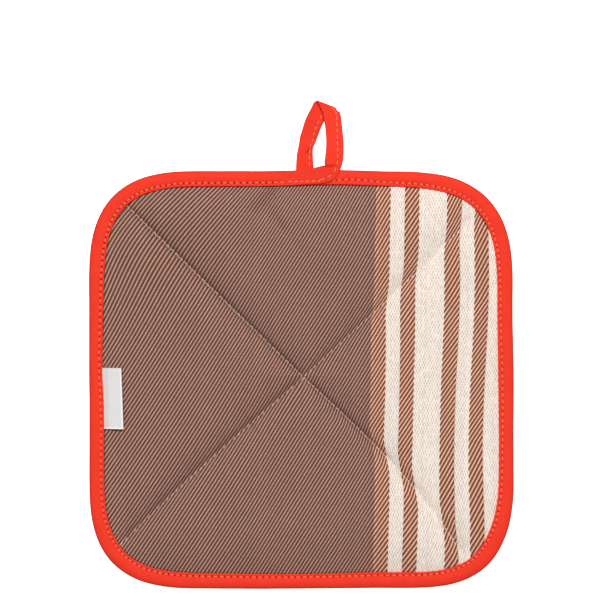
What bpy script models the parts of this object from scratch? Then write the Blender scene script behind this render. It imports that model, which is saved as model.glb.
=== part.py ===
"""Quilted pot holder.

A rounded square of face cloth, wadding and back cloth is sewn through along two crossing seams
and bound with cotton tape. The tape's tail stands up at the top edge as a hanging loop, and a
short woven label, folded double, is caught under the left side of the binding.

The pad lies face up with its loop towards +Y. Shapes are drawn in millimetres about the middle
of the rounded square, and MM turns them into Blender's metres. One empty then carries all the
pieces, so that the origin is under the middle of the whole object's box.
"""
import math

import bmesh
import bpy
from mathutils import Vector

MM = 0.001

# Outer edge of the binding: a square with large soft corners
HALF_WIDTH = 99.8
HALF_HEIGHT = 98.3
CORNER_REACH = {(1, 1): 59.4, (-1, 1): 54.4, (-1, -1): 53.9, (1, -1): 54.4}
CORNER_POWER = 2.92  # 2 would be a round corner, more is squarer
OUTLINE_SAMPLES = 360
HALVINGS = 40  # steps of the search for a point on the outline

# Quilting: two seams cross near the middle, and each of their four arms bends a little
CROSSING = (1.1, 1.6)
SEAM_ARMS = (  # (direction in degrees at the crossing, direction in degrees at the edge)
    (42.5, 43.6),
    (135.9, 135.8),
    (221.0, 222.3),
    (317.2, 311.9),
)
SEAM_BEND_POWER = 2.2  # the bend comes mostly towards the edge
SPOKES_PER_QUARTER = 20

# Quilted body: heights above the table
PAD_EDGE_TOP = 4.4
PAD_EDGE_MIDDLE = 3.6
PAD_EDGE_BOTTOM = 2.8
PAD_EDGE_INSET = 3.2
PAD_RIM_INSET = 1.9
FLAT_MARGIN = 7.4  # the strip that the binding presses flat
SEAM_LIFT = 0.9  # the seams lie higher in the middle than at the edge
SEAM_DROP = 0.4
SEAM_LIFT_REACH = 40.0
TOP_PUFF = 2.7
BOTTOM_PUFF = 3.4
PUFF_REACH = 17.0  # from a seam to the full height
EDGE_PUFF_REACH = 22.0  # from the binding to the full height
PUFF_POWER = 2.2
EDGE_STEPS = (9.5, 13.0, 18.0, 24.0, 31.0)  # rings, by their distance inside the outline
INNER_STEPS = (0.88, 0.75, 0.62, 0.5, 0.38, 0.27, 0.17, 0.09, 0.03)  # rings, by share of the way

# Binding: section of the folded tape, (distance inside the outline, height)
BINDING_SECTION = (
    (7.0, 5.5),
    (5.7, 5.3),
    (3.9, 5.6),
    (1.7, 5.4),
    (0.4, 4.7),
    (0.0, 3.6),
    (0.4, 2.5),
    (1.7, 1.9),
    (3.9, 1.75),
    (5.7, 1.9),
    (7.0, 1.75),
    (7.0, 2.4),
    (3.4, 2.45),
    (1.8, 2.8),
    (1.2, 3.6),
    (1.8, 4.4),
    (3.4, 4.75),
    (7.0, 4.8),
)
BINDING_STATIONS = 112
BINDING_SIDE_WIDTH = 6.8
BINDING_CORNER_WIDTH = 7.8

# Hanging loop: tape folded shut, laid on the binding, turned up, folded over and tucked behind
TAPE_THICKNESS = 1.3
TAPE_EDGE_ROUND = 0.4
LOOP_FRONT = (  # (x, y, height of the tape's middle, width)
    (-2.2, 95.2, 6.55, 6.7),
    (5.8, 95.8, 6.55, 7.1),
    (9.6, 96.5, 6.55, 7.4),
)
LOOP_TURN_PIVOT = (11.7, 100.6)
LOOP_TURN_RADIUS = 3.95
LOOP_TURN_DEGREES = (-78.0, -60.0, -42.0, -24.0, -6.0)
LOOP_TURN_HEIGHT = 6.55
LOOP_TURN_WIDTH = 7.5
LOOP_RIGHT_LEG = (  # (x, y, height of the tape's middle, width)
    (15.9, 103.6, 6.35, 7.6),
    (16.25, 108.0, 5.9, 7.7),
    (16.25, 113.0, 5.3, 7.7),
    (15.7, 118.0, 4.7, 7.6),
    (14.9, 121.8, 4.3, 7.6),
    (13.7, 125.4, 4.0, 7.5),
)
LOOP_LEFT_LEG = (  # (x, y, height of the tape's middle, width)
    (8.7, 125.2, 0.78, 7.2),
    (6.3, 121.6, 0.78, 7.2),
    (4.6, 117.5, 0.78, 7.2),
    (3.0, 112.8, 0.78, 6.9),
    (2.1, 110.0, 0.78, 6.6),
    (1.8, 107.0, 0.78, 6.7),
    (1.8, 104.0, 0.78, 7.0),
    (1.9, 100.0, 0.78, 7.3),
    (1.9, 93.2, 0.78, 7.3),
)
FOLD_CENTRE = (11.3, 128.1, 2.34)
FOLD_RADIUS = 1.55  # of the tape's middle
FOLD_SLOPE_DEGREES = -17.0  # the crease falls to the right
FOLD_SKEW_DEGREES = 21.0  # between the tape's run and a square fold
FOLD_WIDTH = 7.3
FOLD_STEPS = 8
POINTS_BETWEEN = 3  # extra stations between two rows of the loop's tables

# Side label: one ribbon folded double, its fold to the right
LABEL_ROOT_X = -92.6
LABEL_FOLD_X_TOP = -85.0
LABEL_FOLD_X_BOTTOM = -84.0
LABEL_TOP_Y = 5.2
LABEL_BOTTOM_Y = -23.6
LABEL_LAYER = 0.4
LABEL_GAP = 0.3
LABEL_ROWS = 7
LABEL_COLUMNS = 5
LABEL_FOLD_STEPS = 4

CLEARANCE = 0.35  # between a piece and the one it lies on
SHARP_EDGE_DEGREES = 40.0  # a steeper edge is shaded sharp


def srgb(red, green, blue):
    """Blender's linear colour for a colour given from 0 to 255."""
    channels = []
    for value in (red, green, blue):
        share = value / 255.0
        channels.append(share / 12.92 if share <= 0.04045 else ((share + 0.055) / 1.055) ** 2.4)
    return (*channels, 1.0)


def cloth_material(name, colour, roughness):
    material = bpy.data.materials.new(name)
    material.use_nodes = True
    shader = material.node_tree.nodes["Principled BSDF"]
    shader.inputs["Base Color"].default_value = srgb(*colour)
    shader.inputs["Roughness"].default_value = roughness
    shader.inputs["Metallic"].default_value = 0.0
    return material


def build_piece(name, points, faces, material):
    """One closed object from points in millimetres."""
    mesh = bpy.data.meshes.new(name)
    mesh.from_pydata([Vector(point) * MM for point in points], [], faces)
    shell = bmesh.new()
    shell.from_mesh(mesh)
    bmesh.ops.recalc_face_normals(shell, faces=shell.faces)
    shell.to_mesh(mesh)
    shell.free()
    mesh.materials.append(material)
    mesh.shade_smooth()
    mesh.set_sharp_from_angle(angle=math.radians(SHARP_EDGE_DEGREES))
    piece = bpy.data.objects.new(name, mesh)
    bpy.context.scene.collection.objects.link(piece)
    return piece


def ring_faces(first, second, count):
    """Faces between two rings of count points that start at the indices first and second."""
    faces = []
    for index in range(count):
        following = (index + 1) % count
        faces.append((first + index, first + following, second + following, second + index))
    return faces


def outline_level(x, y):
    """1 on the outline of the rounded square, less inside it and more outside it."""
    reach = CORNER_REACH[(1 if x >= 0.0 else -1, 1 if y >= 0.0 else -1)]
    across = max(0.0, (abs(x) - (HALF_WIDTH - reach)) / reach)
    along = max(0.0, (abs(y) - (HALF_HEIGHT - reach)) / reach)
    return across ** CORNER_POWER + along ** CORNER_POWER


def reach_to_outline(centre, angle):
    """Distance from a point inside the outline to the outline in one direction."""
    near = 0.0
    far = 2.0 * HALF_WIDTH
    for _ in range(HALVINGS):
        middle = (near + far) / 2.0
        x = centre[0] + middle * math.cos(angle)
        y = centre[1] + middle * math.sin(angle)
        if outline_level(x, y) < 1.0:
            near = middle
        else:
            far = middle
    return near


def outline_point(angle):
    reach = reach_to_outline((0.0, 0.0), angle)
    return Vector((reach * math.cos(angle), reach * math.sin(angle), 0.0))


OUTLINE = [outline_point(math.tau * step / OUTLINE_SAMPLES) for step in range(OUTLINE_SAMPLES)]


def distance_to_outline(x, y):
    return min(math.hypot(point.x - x, point.y - y) for point in OUTLINE)


def rise(distance, reach):
    """0 at a seam and 1 from reach on: steep beside the seam, level at the top."""
    share = min(max(distance / reach, 0.0), 1.0)
    return 1.0 - (1.0 - share) ** PUFF_POWER


def arm_angle(arm, share):
    """Direction of one arm of the quilting at a share of its way to the edge."""
    start, end = SEAM_ARMS[arm % len(SEAM_ARMS)]
    turn = 360.0 * (arm // len(SEAM_ARMS))
    return math.radians(turn + start + (end - start) * share ** SEAM_BEND_POWER)


def distance_to_seam(x, y):
    """Distance to the nearest arm of the quilting, measured square to it."""
    dx = x - CROSSING[0]
    dy = y - CROSSING[1]
    radius = math.hypot(dx, dy)
    angle = math.atan2(dy, dx)
    share = min(radius / reach_to_outline(CROSSING, angle), 1.0)
    gaps = []
    for arm in range(len(SEAM_ARMS)):
        gap = abs(math.remainder(angle - arm_angle(arm, share), math.tau))
        gaps.append(min(gap, math.pi / 2.0))
    return radius * math.sin(min(gaps))


def pad_heights(x, y):
    """Top and underside of the quilted body over one point."""
    inside = distance_to_outline(x, y) - FLAT_MARGIN
    lift = rise(inside, SEAM_LIFT_REACH)
    puff = rise(distance_to_seam(x, y), PUFF_REACH) * rise(inside, EDGE_PUFF_REACH)
    top = PAD_EDGE_TOP + SEAM_LIFT * lift + TOP_PUFF * puff
    bottom = PAD_EDGE_BOTTOM - SEAM_DROP * lift - BOTTOM_PUFF * puff
    return top, max(bottom, 0.0)


def pad_spokes():
    """Directions and reaches of the pad's spokes, close together beside the seams."""
    spokes = []
    for quarter in range(len(SEAM_ARMS)):
        for step in range(SPOKES_PER_QUARTER):
            share = 0.5 - 0.5 * math.cos(math.pi * step / SPOKES_PER_QUARTER)
            start = arm_angle(quarter, 1.0)
            angle = start + (arm_angle(quarter + 1, 1.0) - start) * share
            spokes.append((quarter, share, reach_to_outline(CROSSING, angle)))
    return spokes


def spoke_point(spoke, radius):
    quarter, share, reach = spoke
    way = radius / reach
    start = arm_angle(quarter, way)
    angle = start + (arm_angle(quarter + 1, way) - start) * share
    return CROSSING[0] + radius * math.cos(angle), CROSSING[1] + radius * math.sin(angle)


def pad_ring(spokes, radius_of, side):
    """One ring of points on the top (side 0) or the underside (side 1)."""
    ring = []
    for spoke in spokes:
        x, y = spoke_point(spoke, radius_of(spoke[2]))
        ring.append((x, y, pad_heights(x, y)[side]))
    return ring


def pad_radii():
    """Functions from a spoke's reach to a ring's radius, from the edge inwards."""
    innermost = EDGE_STEPS[-1]
    radii = [lambda reach, inset=inset: reach - inset for inset in (PAD_EDGE_INSET, FLAT_MARGIN)]
    radii += [lambda reach, inset=inset: reach - inset for inset in EDGE_STEPS]
    radii += [lambda reach, way=way: (reach - innermost) * way for way in INNER_STEPS]
    return radii


def build_pad():
    """The quilted body: rings from the top's middle over the rim to the underside's middle."""
    spokes = pad_spokes()
    count = len(spokes)
    radii = pad_radii()
    rings = [pad_ring(spokes, radius_of, 0) for radius_of in reversed(radii)]
    rim = []
    for spoke in spokes:
        x, y = spoke_point(spoke, spoke[2] - PAD_RIM_INSET)
        rim.append((x, y, PAD_EDGE_MIDDLE))
    rings.append(rim)
    rings += [pad_ring(spokes, radius_of, 1) for radius_of in radii]
    top, bottom = pad_heights(*CROSSING)
    points = [(*CROSSING, top)]
    faces = [(0, 1 + index, 1 + (index + 1) % count) for index in range(count)]
    for number, ring in enumerate(rings):
        first = 1 + number * count
        points += ring
        if number:
            faces += ring_faces(first - count, first, count)
    last = len(points)
    points.append((*CROSSING, bottom))
    faces += [(last, last - count + (index + 1) % count, last - count + index)
              for index in range(count)]
    material = cloth_material("striped_twill", (150, 114, 98), 0.85)
    return build_piece("quilted_pad", points, faces, material)


def binding_width(angle):
    """The tape shows narrower along the sides and wider round the corners."""
    corner = math.sin(2.0 * angle) ** 2
    return BINDING_SIDE_WIDTH + (BINDING_CORNER_WIDTH - BINDING_SIDE_WIDTH) * corner ** 2


def build_binding():
    """A closed ring of folded tape round the pad's edge."""
    drawn_width = BINDING_SECTION[0][0]
    count = len(BINDING_SECTION)
    points = []
    faces = []
    for station in range(BINDING_STATIONS):
        angle = math.tau * station / BINDING_STATIONS
        step = math.tau / OUTLINE_SAMPLES
        edge = outline_point(angle)
        tangent = outline_point(angle + step) - outline_point(angle - step)
        inward = Vector((-tangent.y, tangent.x, 0.0)).normalized()
        scale = binding_width(angle) / drawn_width
        first = len(points)
        for inset, height in BINDING_SECTION:
            points.append(edge + inward * inset * scale + Vector((0.0, 0.0, height)))
        following = (first + count) % (BINDING_STATIONS * count)
        faces += ring_faces(first, following, count)
    material = cloth_material("binding_tape", (246, 64, 48), 0.8)
    return build_piece("binding", points, faces, material)


def smooth_route(rows):
    """Rows of a table with POINTS_BETWEEN more on the smooth curve between each two."""
    vectors = [Vector(row) for row in rows]
    padded = [2.0 * vectors[0] - vectors[1], *vectors, 2.0 * vectors[-1] - vectors[-2]]
    route = []
    for index in range(len(vectors) - 1):
        before, start, end, after = padded[index:index + 4]
        for step in range(POINTS_BETWEEN):
            t = step / POINTS_BETWEEN
            route.append(0.5 * (2.0 * start + (end - before) * t
                                + (2.0 * before - 5.0 * start + 4.0 * end - after) * t ** 2
                                + (3.0 * start - before - 3.0 * end + after) * t ** 3))
    route.append(vectors[-1])
    return route


def flat_stations(rows, face_up):
    """Stations of tape that lies flat: (middle, direction across, direction of its face, width)."""
    route = smooth_route(rows)
    stations = []
    for index, here in enumerate(route):
        ahead = route[min(index + 1, len(route) - 1)] - route[max(index - 1, 0)]
        run = Vector(ahead[:3]).normalized()
        face = Vector((0.0, 0.0, 1.0 if face_up else -1.0))
        across = face.cross(run).normalized()
        stations.append((Vector(here[:3]), across, run.cross(across), here[3]))
    return stations


def fold_stations():
    """Stations of the tape where it rolls over backwards, each cut along the crease."""
    slope = math.radians(FOLD_SLOPE_DEGREES)
    skew = math.radians(FOLD_SKEW_DEGREES)
    crease = Vector((-math.cos(slope), -math.sin(slope), 0.0))
    outward = Vector((-math.sin(slope), math.cos(slope), 0.0))
    up = Vector((0.0, 0.0, 1.0))
    stations = []
    for step in range(FOLD_STEPS + 1):
        turn = math.pi * step / FOLD_STEPS
        face = outward * math.sin(turn) + up * math.cos(turn)
        drift = FOLD_RADIUS * (turn - math.pi / 2.0) * math.tan(skew)
        middle = Vector(FOLD_CENTRE) + face * FOLD_RADIUS + crease * drift
        stations.append((middle, crease, face, FOLD_WIDTH / math.cos(skew)))
    return stations


def tape_ring(station):
    """The tape's section, a flat bar with its edges taken off."""
    middle, across, face, width = station
    half = width / 2.0
    thick = TAPE_THICKNESS / 2.0
    cut = TAPE_EDGE_ROUND
    corners = [(half - cut, thick), (half, thick - cut), (half, cut - thick), (half - cut, -thick)]
    corners += [(-a, b) for a, b in reversed(corners)]
    return [middle + across * a + face * b for a, b in corners]


def build_loop():
    """The tape's tail from the front of the binding over the fold to the back of the binding."""
    turn = []
    for degrees in LOOP_TURN_DEGREES:
        angle = math.radians(degrees)
        turn.append((LOOP_TURN_PIVOT[0] + LOOP_TURN_RADIUS * math.cos(angle),
                     LOOP_TURN_PIVOT[1] + LOOP_TURN_RADIUS * math.sin(angle),
                     LOOP_TURN_HEIGHT, LOOP_TURN_WIDTH))
    stations = flat_stations((*LOOP_FRONT, *turn, *LOOP_RIGHT_LEG), True)
    stations += fold_stations()
    stations += flat_stations(LOOP_LEFT_LEG, False)
    points = []
    faces = []
    for number, station in enumerate(stations):
        ring = tape_ring(station)
        count = len(ring)
        first = len(points)
        points += ring
        if number:
            faces += ring_faces(first - count, first, count)
    faces.append(tuple(range(count)))
    faces.append(tuple(range(len(points) - count, len(points))))
    material = cloth_material("loop_tape", (246, 64, 48), 0.8)
    return build_piece("hanging_loop", points, faces, material)


def label_section():
    """The folded ribbon seen from its end: (share of the way to the fold, height, past the fold)."""
    top = 2.0 * LABEL_LAYER + LABEL_GAP
    bend = top / 2.0
    slot = LABEL_GAP / 2.0
    straight = [column / (LABEL_COLUMNS - 1) for column in range(LABEL_COLUMNS)]
    turns = [math.pi * (step / LABEL_FOLD_STEPS - 0.5) for step in range(1, LABEL_FOLD_STEPS)]
    outside = [(way, 0.0, 0.0) for way in straight]
    outside += [(1.0, bend + bend * math.sin(turn), bend * math.cos(turn)) for turn in turns]
    outside += [(way, top, 0.0) for way in reversed(straight)]
    inside = [(way, LABEL_LAYER, 0.0) for way in straight]
    inside += [(1.0, bend + slot * math.sin(turn), slot * math.cos(turn)) for turn in turns]
    inside += [(way, top - LABEL_LAYER, 0.0) for way in reversed(straight)]
    return outside, inside


def build_label():
    """The side label: a hairpin of ribbon that lies on the pad and follows its swell."""
    outside, inside = label_section()
    section = outside + inside[::-1]
    count = len(section)
    half = len(outside)
    points = []
    faces = []
    for row in range(LABEL_ROWS):
        share = row / (LABEL_ROWS - 1)
        y = LABEL_TOP_Y + (LABEL_BOTTOM_Y - LABEL_TOP_Y) * share
        fold_x = LABEL_FOLD_X_TOP + (LABEL_FOLD_X_BOTTOM - LABEL_FOLD_X_TOP) * share
        first = len(points)
        for way, height, past in section:
            x = LABEL_ROOT_X + (fold_x - LABEL_ROOT_X) * way
            points.append((x + past, y, pad_heights(x, y)[0] + CLEARANCE + height))
        if row:
            faces += ring_faces(first - count, first, count)
    for first in (0, len(points) - count):
        for index in range(half - 1):
            opposite = count - 1 - index
            faces.append((first + index, first + index + 1,
                          first + opposite - 1, first + opposite))
    material = cloth_material("label_ribbon", (236, 233, 230), 0.7)
    return build_piece("side_label", points, faces, material)


def stand_on_origin(pieces):
    """Carries the pieces on an empty that puts the origin under the middle of their box."""
    corners = [vertex.co for piece in pieces for vertex in piece.data.vertices]
    middle_x = (min(co.x for co in corners) + max(co.x for co in corners)) / 2.0
    middle_y = (min(co.y for co in corners) + max(co.y for co in corners)) / 2.0
    lowest = min(co.z for co in corners)
    carrier = bpy.data.objects.new("pot_holder_origin", None)
    bpy.context.scene.collection.objects.link(carrier)
    carrier.location = (-middle_x, -middle_y, -lowest)
    for piece in pieces:
        piece.parent = carrier


def main():
    for old in list(bpy.data.objects):
        bpy.data.objects.remove(old, do_unlink=True)
    stand_on_origin([build_pad(), build_binding(), build_loop(), build_label()])


main()
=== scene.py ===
"""Looks of the quilted pot holder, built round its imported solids.

Everything is drawn in millimetres about the middle of the binding's outline, and to_world() puts it
where the solids are. Where a place was read off the photograph it is a pixel of its 605 x 605 frame,
turned into millimetres by from_pixel().
"""
import math
from collections import namedtuple
from functools import reduce

import bpy
import numpy as np
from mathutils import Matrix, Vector, noise


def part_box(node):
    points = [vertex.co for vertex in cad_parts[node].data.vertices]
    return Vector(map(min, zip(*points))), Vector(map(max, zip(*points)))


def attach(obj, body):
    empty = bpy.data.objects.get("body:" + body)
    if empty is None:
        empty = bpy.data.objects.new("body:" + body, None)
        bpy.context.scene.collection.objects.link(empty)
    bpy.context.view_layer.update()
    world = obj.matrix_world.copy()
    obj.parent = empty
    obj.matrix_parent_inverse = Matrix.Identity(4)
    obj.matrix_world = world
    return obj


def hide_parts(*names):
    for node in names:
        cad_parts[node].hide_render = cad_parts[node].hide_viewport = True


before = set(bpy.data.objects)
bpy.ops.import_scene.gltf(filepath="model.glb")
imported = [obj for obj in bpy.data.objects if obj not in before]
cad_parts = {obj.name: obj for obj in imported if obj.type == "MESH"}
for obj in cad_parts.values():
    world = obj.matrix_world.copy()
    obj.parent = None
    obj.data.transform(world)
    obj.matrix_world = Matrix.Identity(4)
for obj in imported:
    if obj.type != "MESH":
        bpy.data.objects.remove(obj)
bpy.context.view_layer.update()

MM = 0.001
UP = np.array([0.0, 0.0, 1.0])
QUARTER_TURN = math.pi / 2.0

# Where the object lies in the row frame: the middle of the binding's outline
binding_low, binding_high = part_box("binding")
PAD_MIDDLE = (binding_low + binding_high) / 2.0

# The photograph's frame
PIXEL_MM = 0.4717
PIXEL_OF_MIDDLE = (300.77, 379.15)
PIXEL_OF_CENTRE = (302.5, 302.5)
FRAME_PIXELS = 605
LENS_MM = 120.0
SENSOR_MM = 36.0
OUTLINE_HEIGHT = 3.6
CAMERA_DISTANCE = FRAME_PIXELS * PIXEL_MM * LENS_MM / SENSOR_MM


def from_pixel(column, row, height=OUTLINE_HEIGHT):
    """Millimetres about the pad's middle for a pixel of the photograph, at a height."""
    nearer = (CAMERA_DISTANCE + OUTLINE_HEIGHT - height) / CAMERA_DISTANCE
    column = PIXEL_OF_CENTRE[0] + (column - PIXEL_OF_CENTRE[0]) * nearer
    row = PIXEL_OF_CENTRE[1] + (row - PIXEL_OF_CENTRE[1]) * nearer
    return (column - PIXEL_OF_MIDDLE[0]) * PIXEL_MM, (PIXEL_OF_MIDDLE[1] - row) * PIXEL_MM


def to_world(points):
    """Points in millimetres about the pad's middle, in the row frame's metres."""
    return np.asarray(points, float) * MM + np.array([PAD_MIDDLE.x, PAD_MIDDLE.y, 0.0])


# ---------------------------------------------------------------- curves and noise

def past(value, start):
    """How far a value is beyond the start, and 0 before it."""
    return np.maximum(0.0, value - start)


def ramp(value, low, high):
    """0 below low and 1 above high, even between."""
    return np.clip((value - low) / (high - low), 0.0, 1.0)


def smooth_step(value, low, high):
    """0 below low and 1 above high, smooth between."""
    share = ramp(value, low, high)
    return share * share * (3.0 - 2.0 * share)


def bell(value, reach):
    """1 at 0, about a third at the reach on either side of it and nothing far from it."""
    return np.exp(-((value / reach) ** 2))


def smooth_route(rows, steps):
    """A Catmull-Rom curve through the rows of a table, with steps parts between each two."""
    rows = np.asarray(rows, float)
    padded = np.vstack([2.0 * rows[0] - rows[1], rows, 2.0 * rows[-1] - rows[-2]])
    route = []
    for index in range(len(rows) - 1):
        before, start, end, after = padded[index:index + 4]
        for step in range(steps):
            t = step / steps
            route.append(0.5 * (2.0 * start + (end - before) * t
                                + (2.0 * before - 5.0 * start + 4.0 * end - after) * t ** 2
                                + (3.0 * start - before - 3.0 * end + after) * t ** 3))
    route.append(rows[-1])
    return np.array(route)


def way_along(points):
    """Length of the route up to each of its points."""
    steps = np.linalg.norm(np.diff(points, axis=0), axis=1)
    return np.concatenate([[0.0], np.cumsum(steps)])


def by_streak(x, y, ends):
    """Share of the way along a line between two pixels, distance aside from it, and its length."""
    start = np.array(from_pixel(*ends[:2]))
    run = np.array(from_pixel(*ends[2:])) - start
    length = np.hypot(*run)
    dx = x - start[0]
    dy = y - start[1]
    return (dx * run[0] + dy * run[1]) / length ** 2, (dx * run[1] - dy * run[0]) / length, length


def distance_to_line(x, y, line):
    """Distance from each point to the nearest of a line's points."""
    places = np.stack([x.ravel(), y.ravel()], 1)
    found = [np.sqrt(((chunk[:, None, :] - line[None]) ** 2).sum(2).min(1))
             for chunk in np.array_split(places, 1 + len(places) // 4000)]
    return np.concatenate(found).reshape(x.shape)


def wander(x, y, scale, seed, octaves=1):
    """Smooth noise from -1 to 1 with features of the given size in millimetres."""
    flat = np.stack([x.ravel() / scale, y.ravel() / scale], 1)
    found = [sum(noise.noise((a * 2 ** o, b * 2 ** o, seed + o)) / 2 ** o for o in range(octaves))
             for a, b in flat]
    return np.array(found).reshape(x.shape)


# ---------------------------------------------------------------- outline and quilting

HALF_WIDTH = 99.8
HALF_HEIGHT = 98.3
REACH_TOP_RIGHT = 59.4  # how far each round corner reaches along the sides
REACH_TOP_LEFT = 54.4
REACH_BOTTOM_LEFT = 53.9
REACH_BOTTOM_RIGHT = 54.4
CORNER_POWER = 2.92
OUTLINE_SAMPLES = 1440
HALVINGS = 40

# The seams run from their crossing in four arms: upper right, upper left, lower left, lower right
ARMS = 4
CROSSING = np.array([1.1, 1.6])
ARM_STARTS = np.array([42.5, 135.9, 221.0, 317.2, 402.5])  # degrees from +X at the crossing
ARM_ENDS = np.array([43.6, 135.8, 222.65, 310.6, 403.6])  # and at the edge
ARM_PITCH = np.array([2.73, 2.9, 3.03, 2.63])  # length of one stitch
ARM_LOW = np.array([0.6, 0.5, 0.85, 0.45])  # the stitches lie this far below the drawn line
ARM_HOLES_LOW = np.array([0.5, 0.2, 0.72, 0.25])  # and the needle holes this far
ARM_CREASE_LOW = np.array([0.6, 0.55, 0.5, 0.5])  # and the bottom of the crease this far
ARM_CREASE = np.array([0.75, 1.4, 1.1, 1.2])  # depth of the crease
ARM_CREASE_START = np.array([0.0, 0.0, 5.0, 6.0])  # how far from the crossing it starts
ARM_VALLEY = np.array([0.1, 0.4, 0.3, 0.2])  # depth of the wide valley round it
ARM_FOLD_DARK = np.array([0.0, 0.15, 0.05, 0.12])  # painted shade in the fold above the stitches: how dark it is
ARM_HOOK_SHADE = np.array([0.05, 0.14, 0.0, 0.14])  # and painted shade below them
SEAM_BEND_POWER = 2.2
TOP, LEFT, BOTTOM, RIGHT = range(ARMS)  # the quarters, by the arm that they start at

STITCH_PITCH = 3.0  # of the stitches round the edge and on the loop

SeamPlace = namedtuple("SeamPlace", "quarter neighbour arm off above way away")


def outline_level(x, y):
    """1 on the outline of the rounded square, less inside it and more outside it."""
    reach_top = np.where(x >= 0.0, REACH_TOP_RIGHT, REACH_TOP_LEFT)
    reach_bottom = np.where(x >= 0.0, REACH_BOTTOM_RIGHT, REACH_BOTTOM_LEFT)
    reach = np.where(y >= 0.0, reach_top, reach_bottom)
    across = np.maximum(0.0, (np.abs(x) - (HALF_WIDTH - reach)) / reach)
    along = np.maximum(0.0, (np.abs(y) - (HALF_HEIGHT - reach)) / reach)
    return across ** CORNER_POWER + along ** CORNER_POWER


def reach_to_outline(centre, angle):
    """Distance from a point inside the outline to the outline, for an array of directions."""
    near = np.zeros_like(angle)
    far = np.full_like(angle, 2.0 * HALF_WIDTH)
    for _ in range(HALVINGS):
        middle = (near + far) / 2.0
        inside = outline_level(centre[0] + middle * np.cos(angle),
                               centre[1] + middle * np.sin(angle)) < 1.0
        near = np.where(inside, middle, near)
        far = np.where(inside, far, middle)
    return near


def outline_points(count):
    """Points all round the outline at even steps along it, from +X anticlockwise."""
    angle = np.linspace(0.0, math.tau, 4 * OUTLINE_SAMPLES, endpoint=False)
    reach = reach_to_outline((0.0, 0.0), angle)
    dense = np.stack([reach * np.cos(angle), reach * np.sin(angle)], 1)
    closed = np.vstack([dense, dense[:1]])
    way = way_along(closed)
    wanted = np.linspace(0.0, way[-1], count, endpoint=False)
    points = np.stack([np.interp(wanted, way, closed[:, axis]) for axis in (0, 1)], 1)
    return points, way[-1]


OUTLINE = outline_points(OUTLINE_SAMPLES)[0]


def arm_angle(arm, share):
    """Direction of a seam at a share of its way from the crossing to the edge."""
    start = ARM_STARTS[arm]
    return np.radians(start + (ARM_ENDS[arm] - start) * share ** SEAM_BEND_POWER)


def seam_place(x, y):
    """For each point, its quarter and its place from the nearest seam.

    Neighbour is the quarter across that seam, arm the seam, off the distance from it, above the
    same but less than 0 on its lower side, way the distance from the crossing, and away the
    direction square to the seam, which fades towards the middle of the quarter.
    """
    dx = x - CROSSING[0]
    dy = y - CROSSING[1]
    radius = np.hypot(dx, dy)
    angle = np.mod(np.arctan2(dy, dx) - math.radians(ARM_STARTS[0]), math.tau)
    angle = angle + math.radians(ARM_STARTS[0])
    share = np.clip(radius / reach_to_outline(CROSSING, angle), 0.0, 1.0)
    quarter = np.zeros(x.shape, int)
    for arm in range(1, ARMS):
        quarter[angle >= arm_angle(arm, share)] = arm
    first = arm_angle(0, share)
    quarter[angle < first] = RIGHT
    angle = np.where(angle < first, angle + math.tau, angle)
    before = angle - arm_angle(quarter, share)
    after = arm_angle(quarter + 1, share) - angle
    gap = np.minimum(np.minimum(before, after), QUARTER_TURN)
    at_start = before < after
    arm = np.where(at_start, quarter, (quarter + 1) % ARMS)
    neighbour = np.where(at_start, (quarter - 1) % ARMS, (quarter + 1) % ARMS)
    turn = np.where(at_start, angle - before + QUARTER_TURN, angle + after - QUARTER_TURN)
    fade = np.cos(np.clip(2.0 * gap, 0.0, QUARTER_TURN)) ** 2
    off = radius * np.sin(np.maximum(gap, 0.0))
    return SeamPlace(quarter, neighbour, arm, off, off * np.sign(np.sin(turn)), radius,
                     (fade * np.cos(turn), fade * np.sin(turn)))


def from_hole(turn):
    """Distance along a row of stitches from the nearest needle hole, for a place in stitches."""
    return np.abs(turn - np.round(turn)) * STITCH_PITCH


# ---------------------------------------------------------------- meshes

def grid_faces(rows, columns, close_rows=False):
    """Quads over a grid of points that is stored row by row, its last column joined to its first."""
    row = np.arange(rows if close_rows else rows - 1)
    row, column = [part.ravel() for part in np.meshgrid(row, np.arange(columns), indexing="ij")]
    after = (row + 1) % rows
    beside = (column + 1) % columns
    return np.stack([row * columns + column, row * columns + beside,
                     after * columns + beside, after * columns + column], 1)


def tube_faces(rings, sides):
    """Quads of a tube, with one face across each of its ends."""
    faces = grid_faces(rings, sides).tolist()
    faces.append(list(range(sides))[::-1])
    faces.append(list(range((rings - 1) * sides, rings * sides)))
    return faces


def triples(first, second=0.0, third=0.0):
    """The rows of a vertex attribute, from three arrays that fit the grid of points."""
    return np.stack(np.broadcast_arrays(first, second, third), -1).reshape(-1, 3)


def make_piece(name, points, faces, materials, attributes, slots=None):
    """One smooth-shaded object from points in millimetres, on the object's only body."""
    mesh = bpy.data.meshes.new(name)
    mesh.from_pydata(to_world(points).reshape(-1, 3).tolist(), [], [list(face) for face in faces])
    for material in materials:
        mesh.materials.append(material)
    if slots is not None:
        mesh.polygons.foreach_set("material_index", np.asarray(slots, np.int32))
    for key, values in attributes.items():
        layer = mesh.attributes.new(key, "FLOAT_VECTOR", "POINT")
        layer.data.foreach_set("vector", np.asarray(values, np.float32).ravel())
    mesh.shade_smooth()
    mesh.update()
    piece = bpy.data.objects.new(name, mesh)
    bpy.context.scene.collection.objects.link(piece)
    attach(piece, "root")
    return piece


# ---------------------------------------------------------------- shader nodes

def srgb(red, green, blue):
    """Blender's linear colour for a colour given from 0 to 255."""
    share = np.array([red, green, blue]) / 255.0
    linear = np.where(share <= 0.04045, share / 12.92, ((share + 0.055) / 1.055) ** 2.4)
    return (*[float(value) for value in linear], 1.0)


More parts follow.
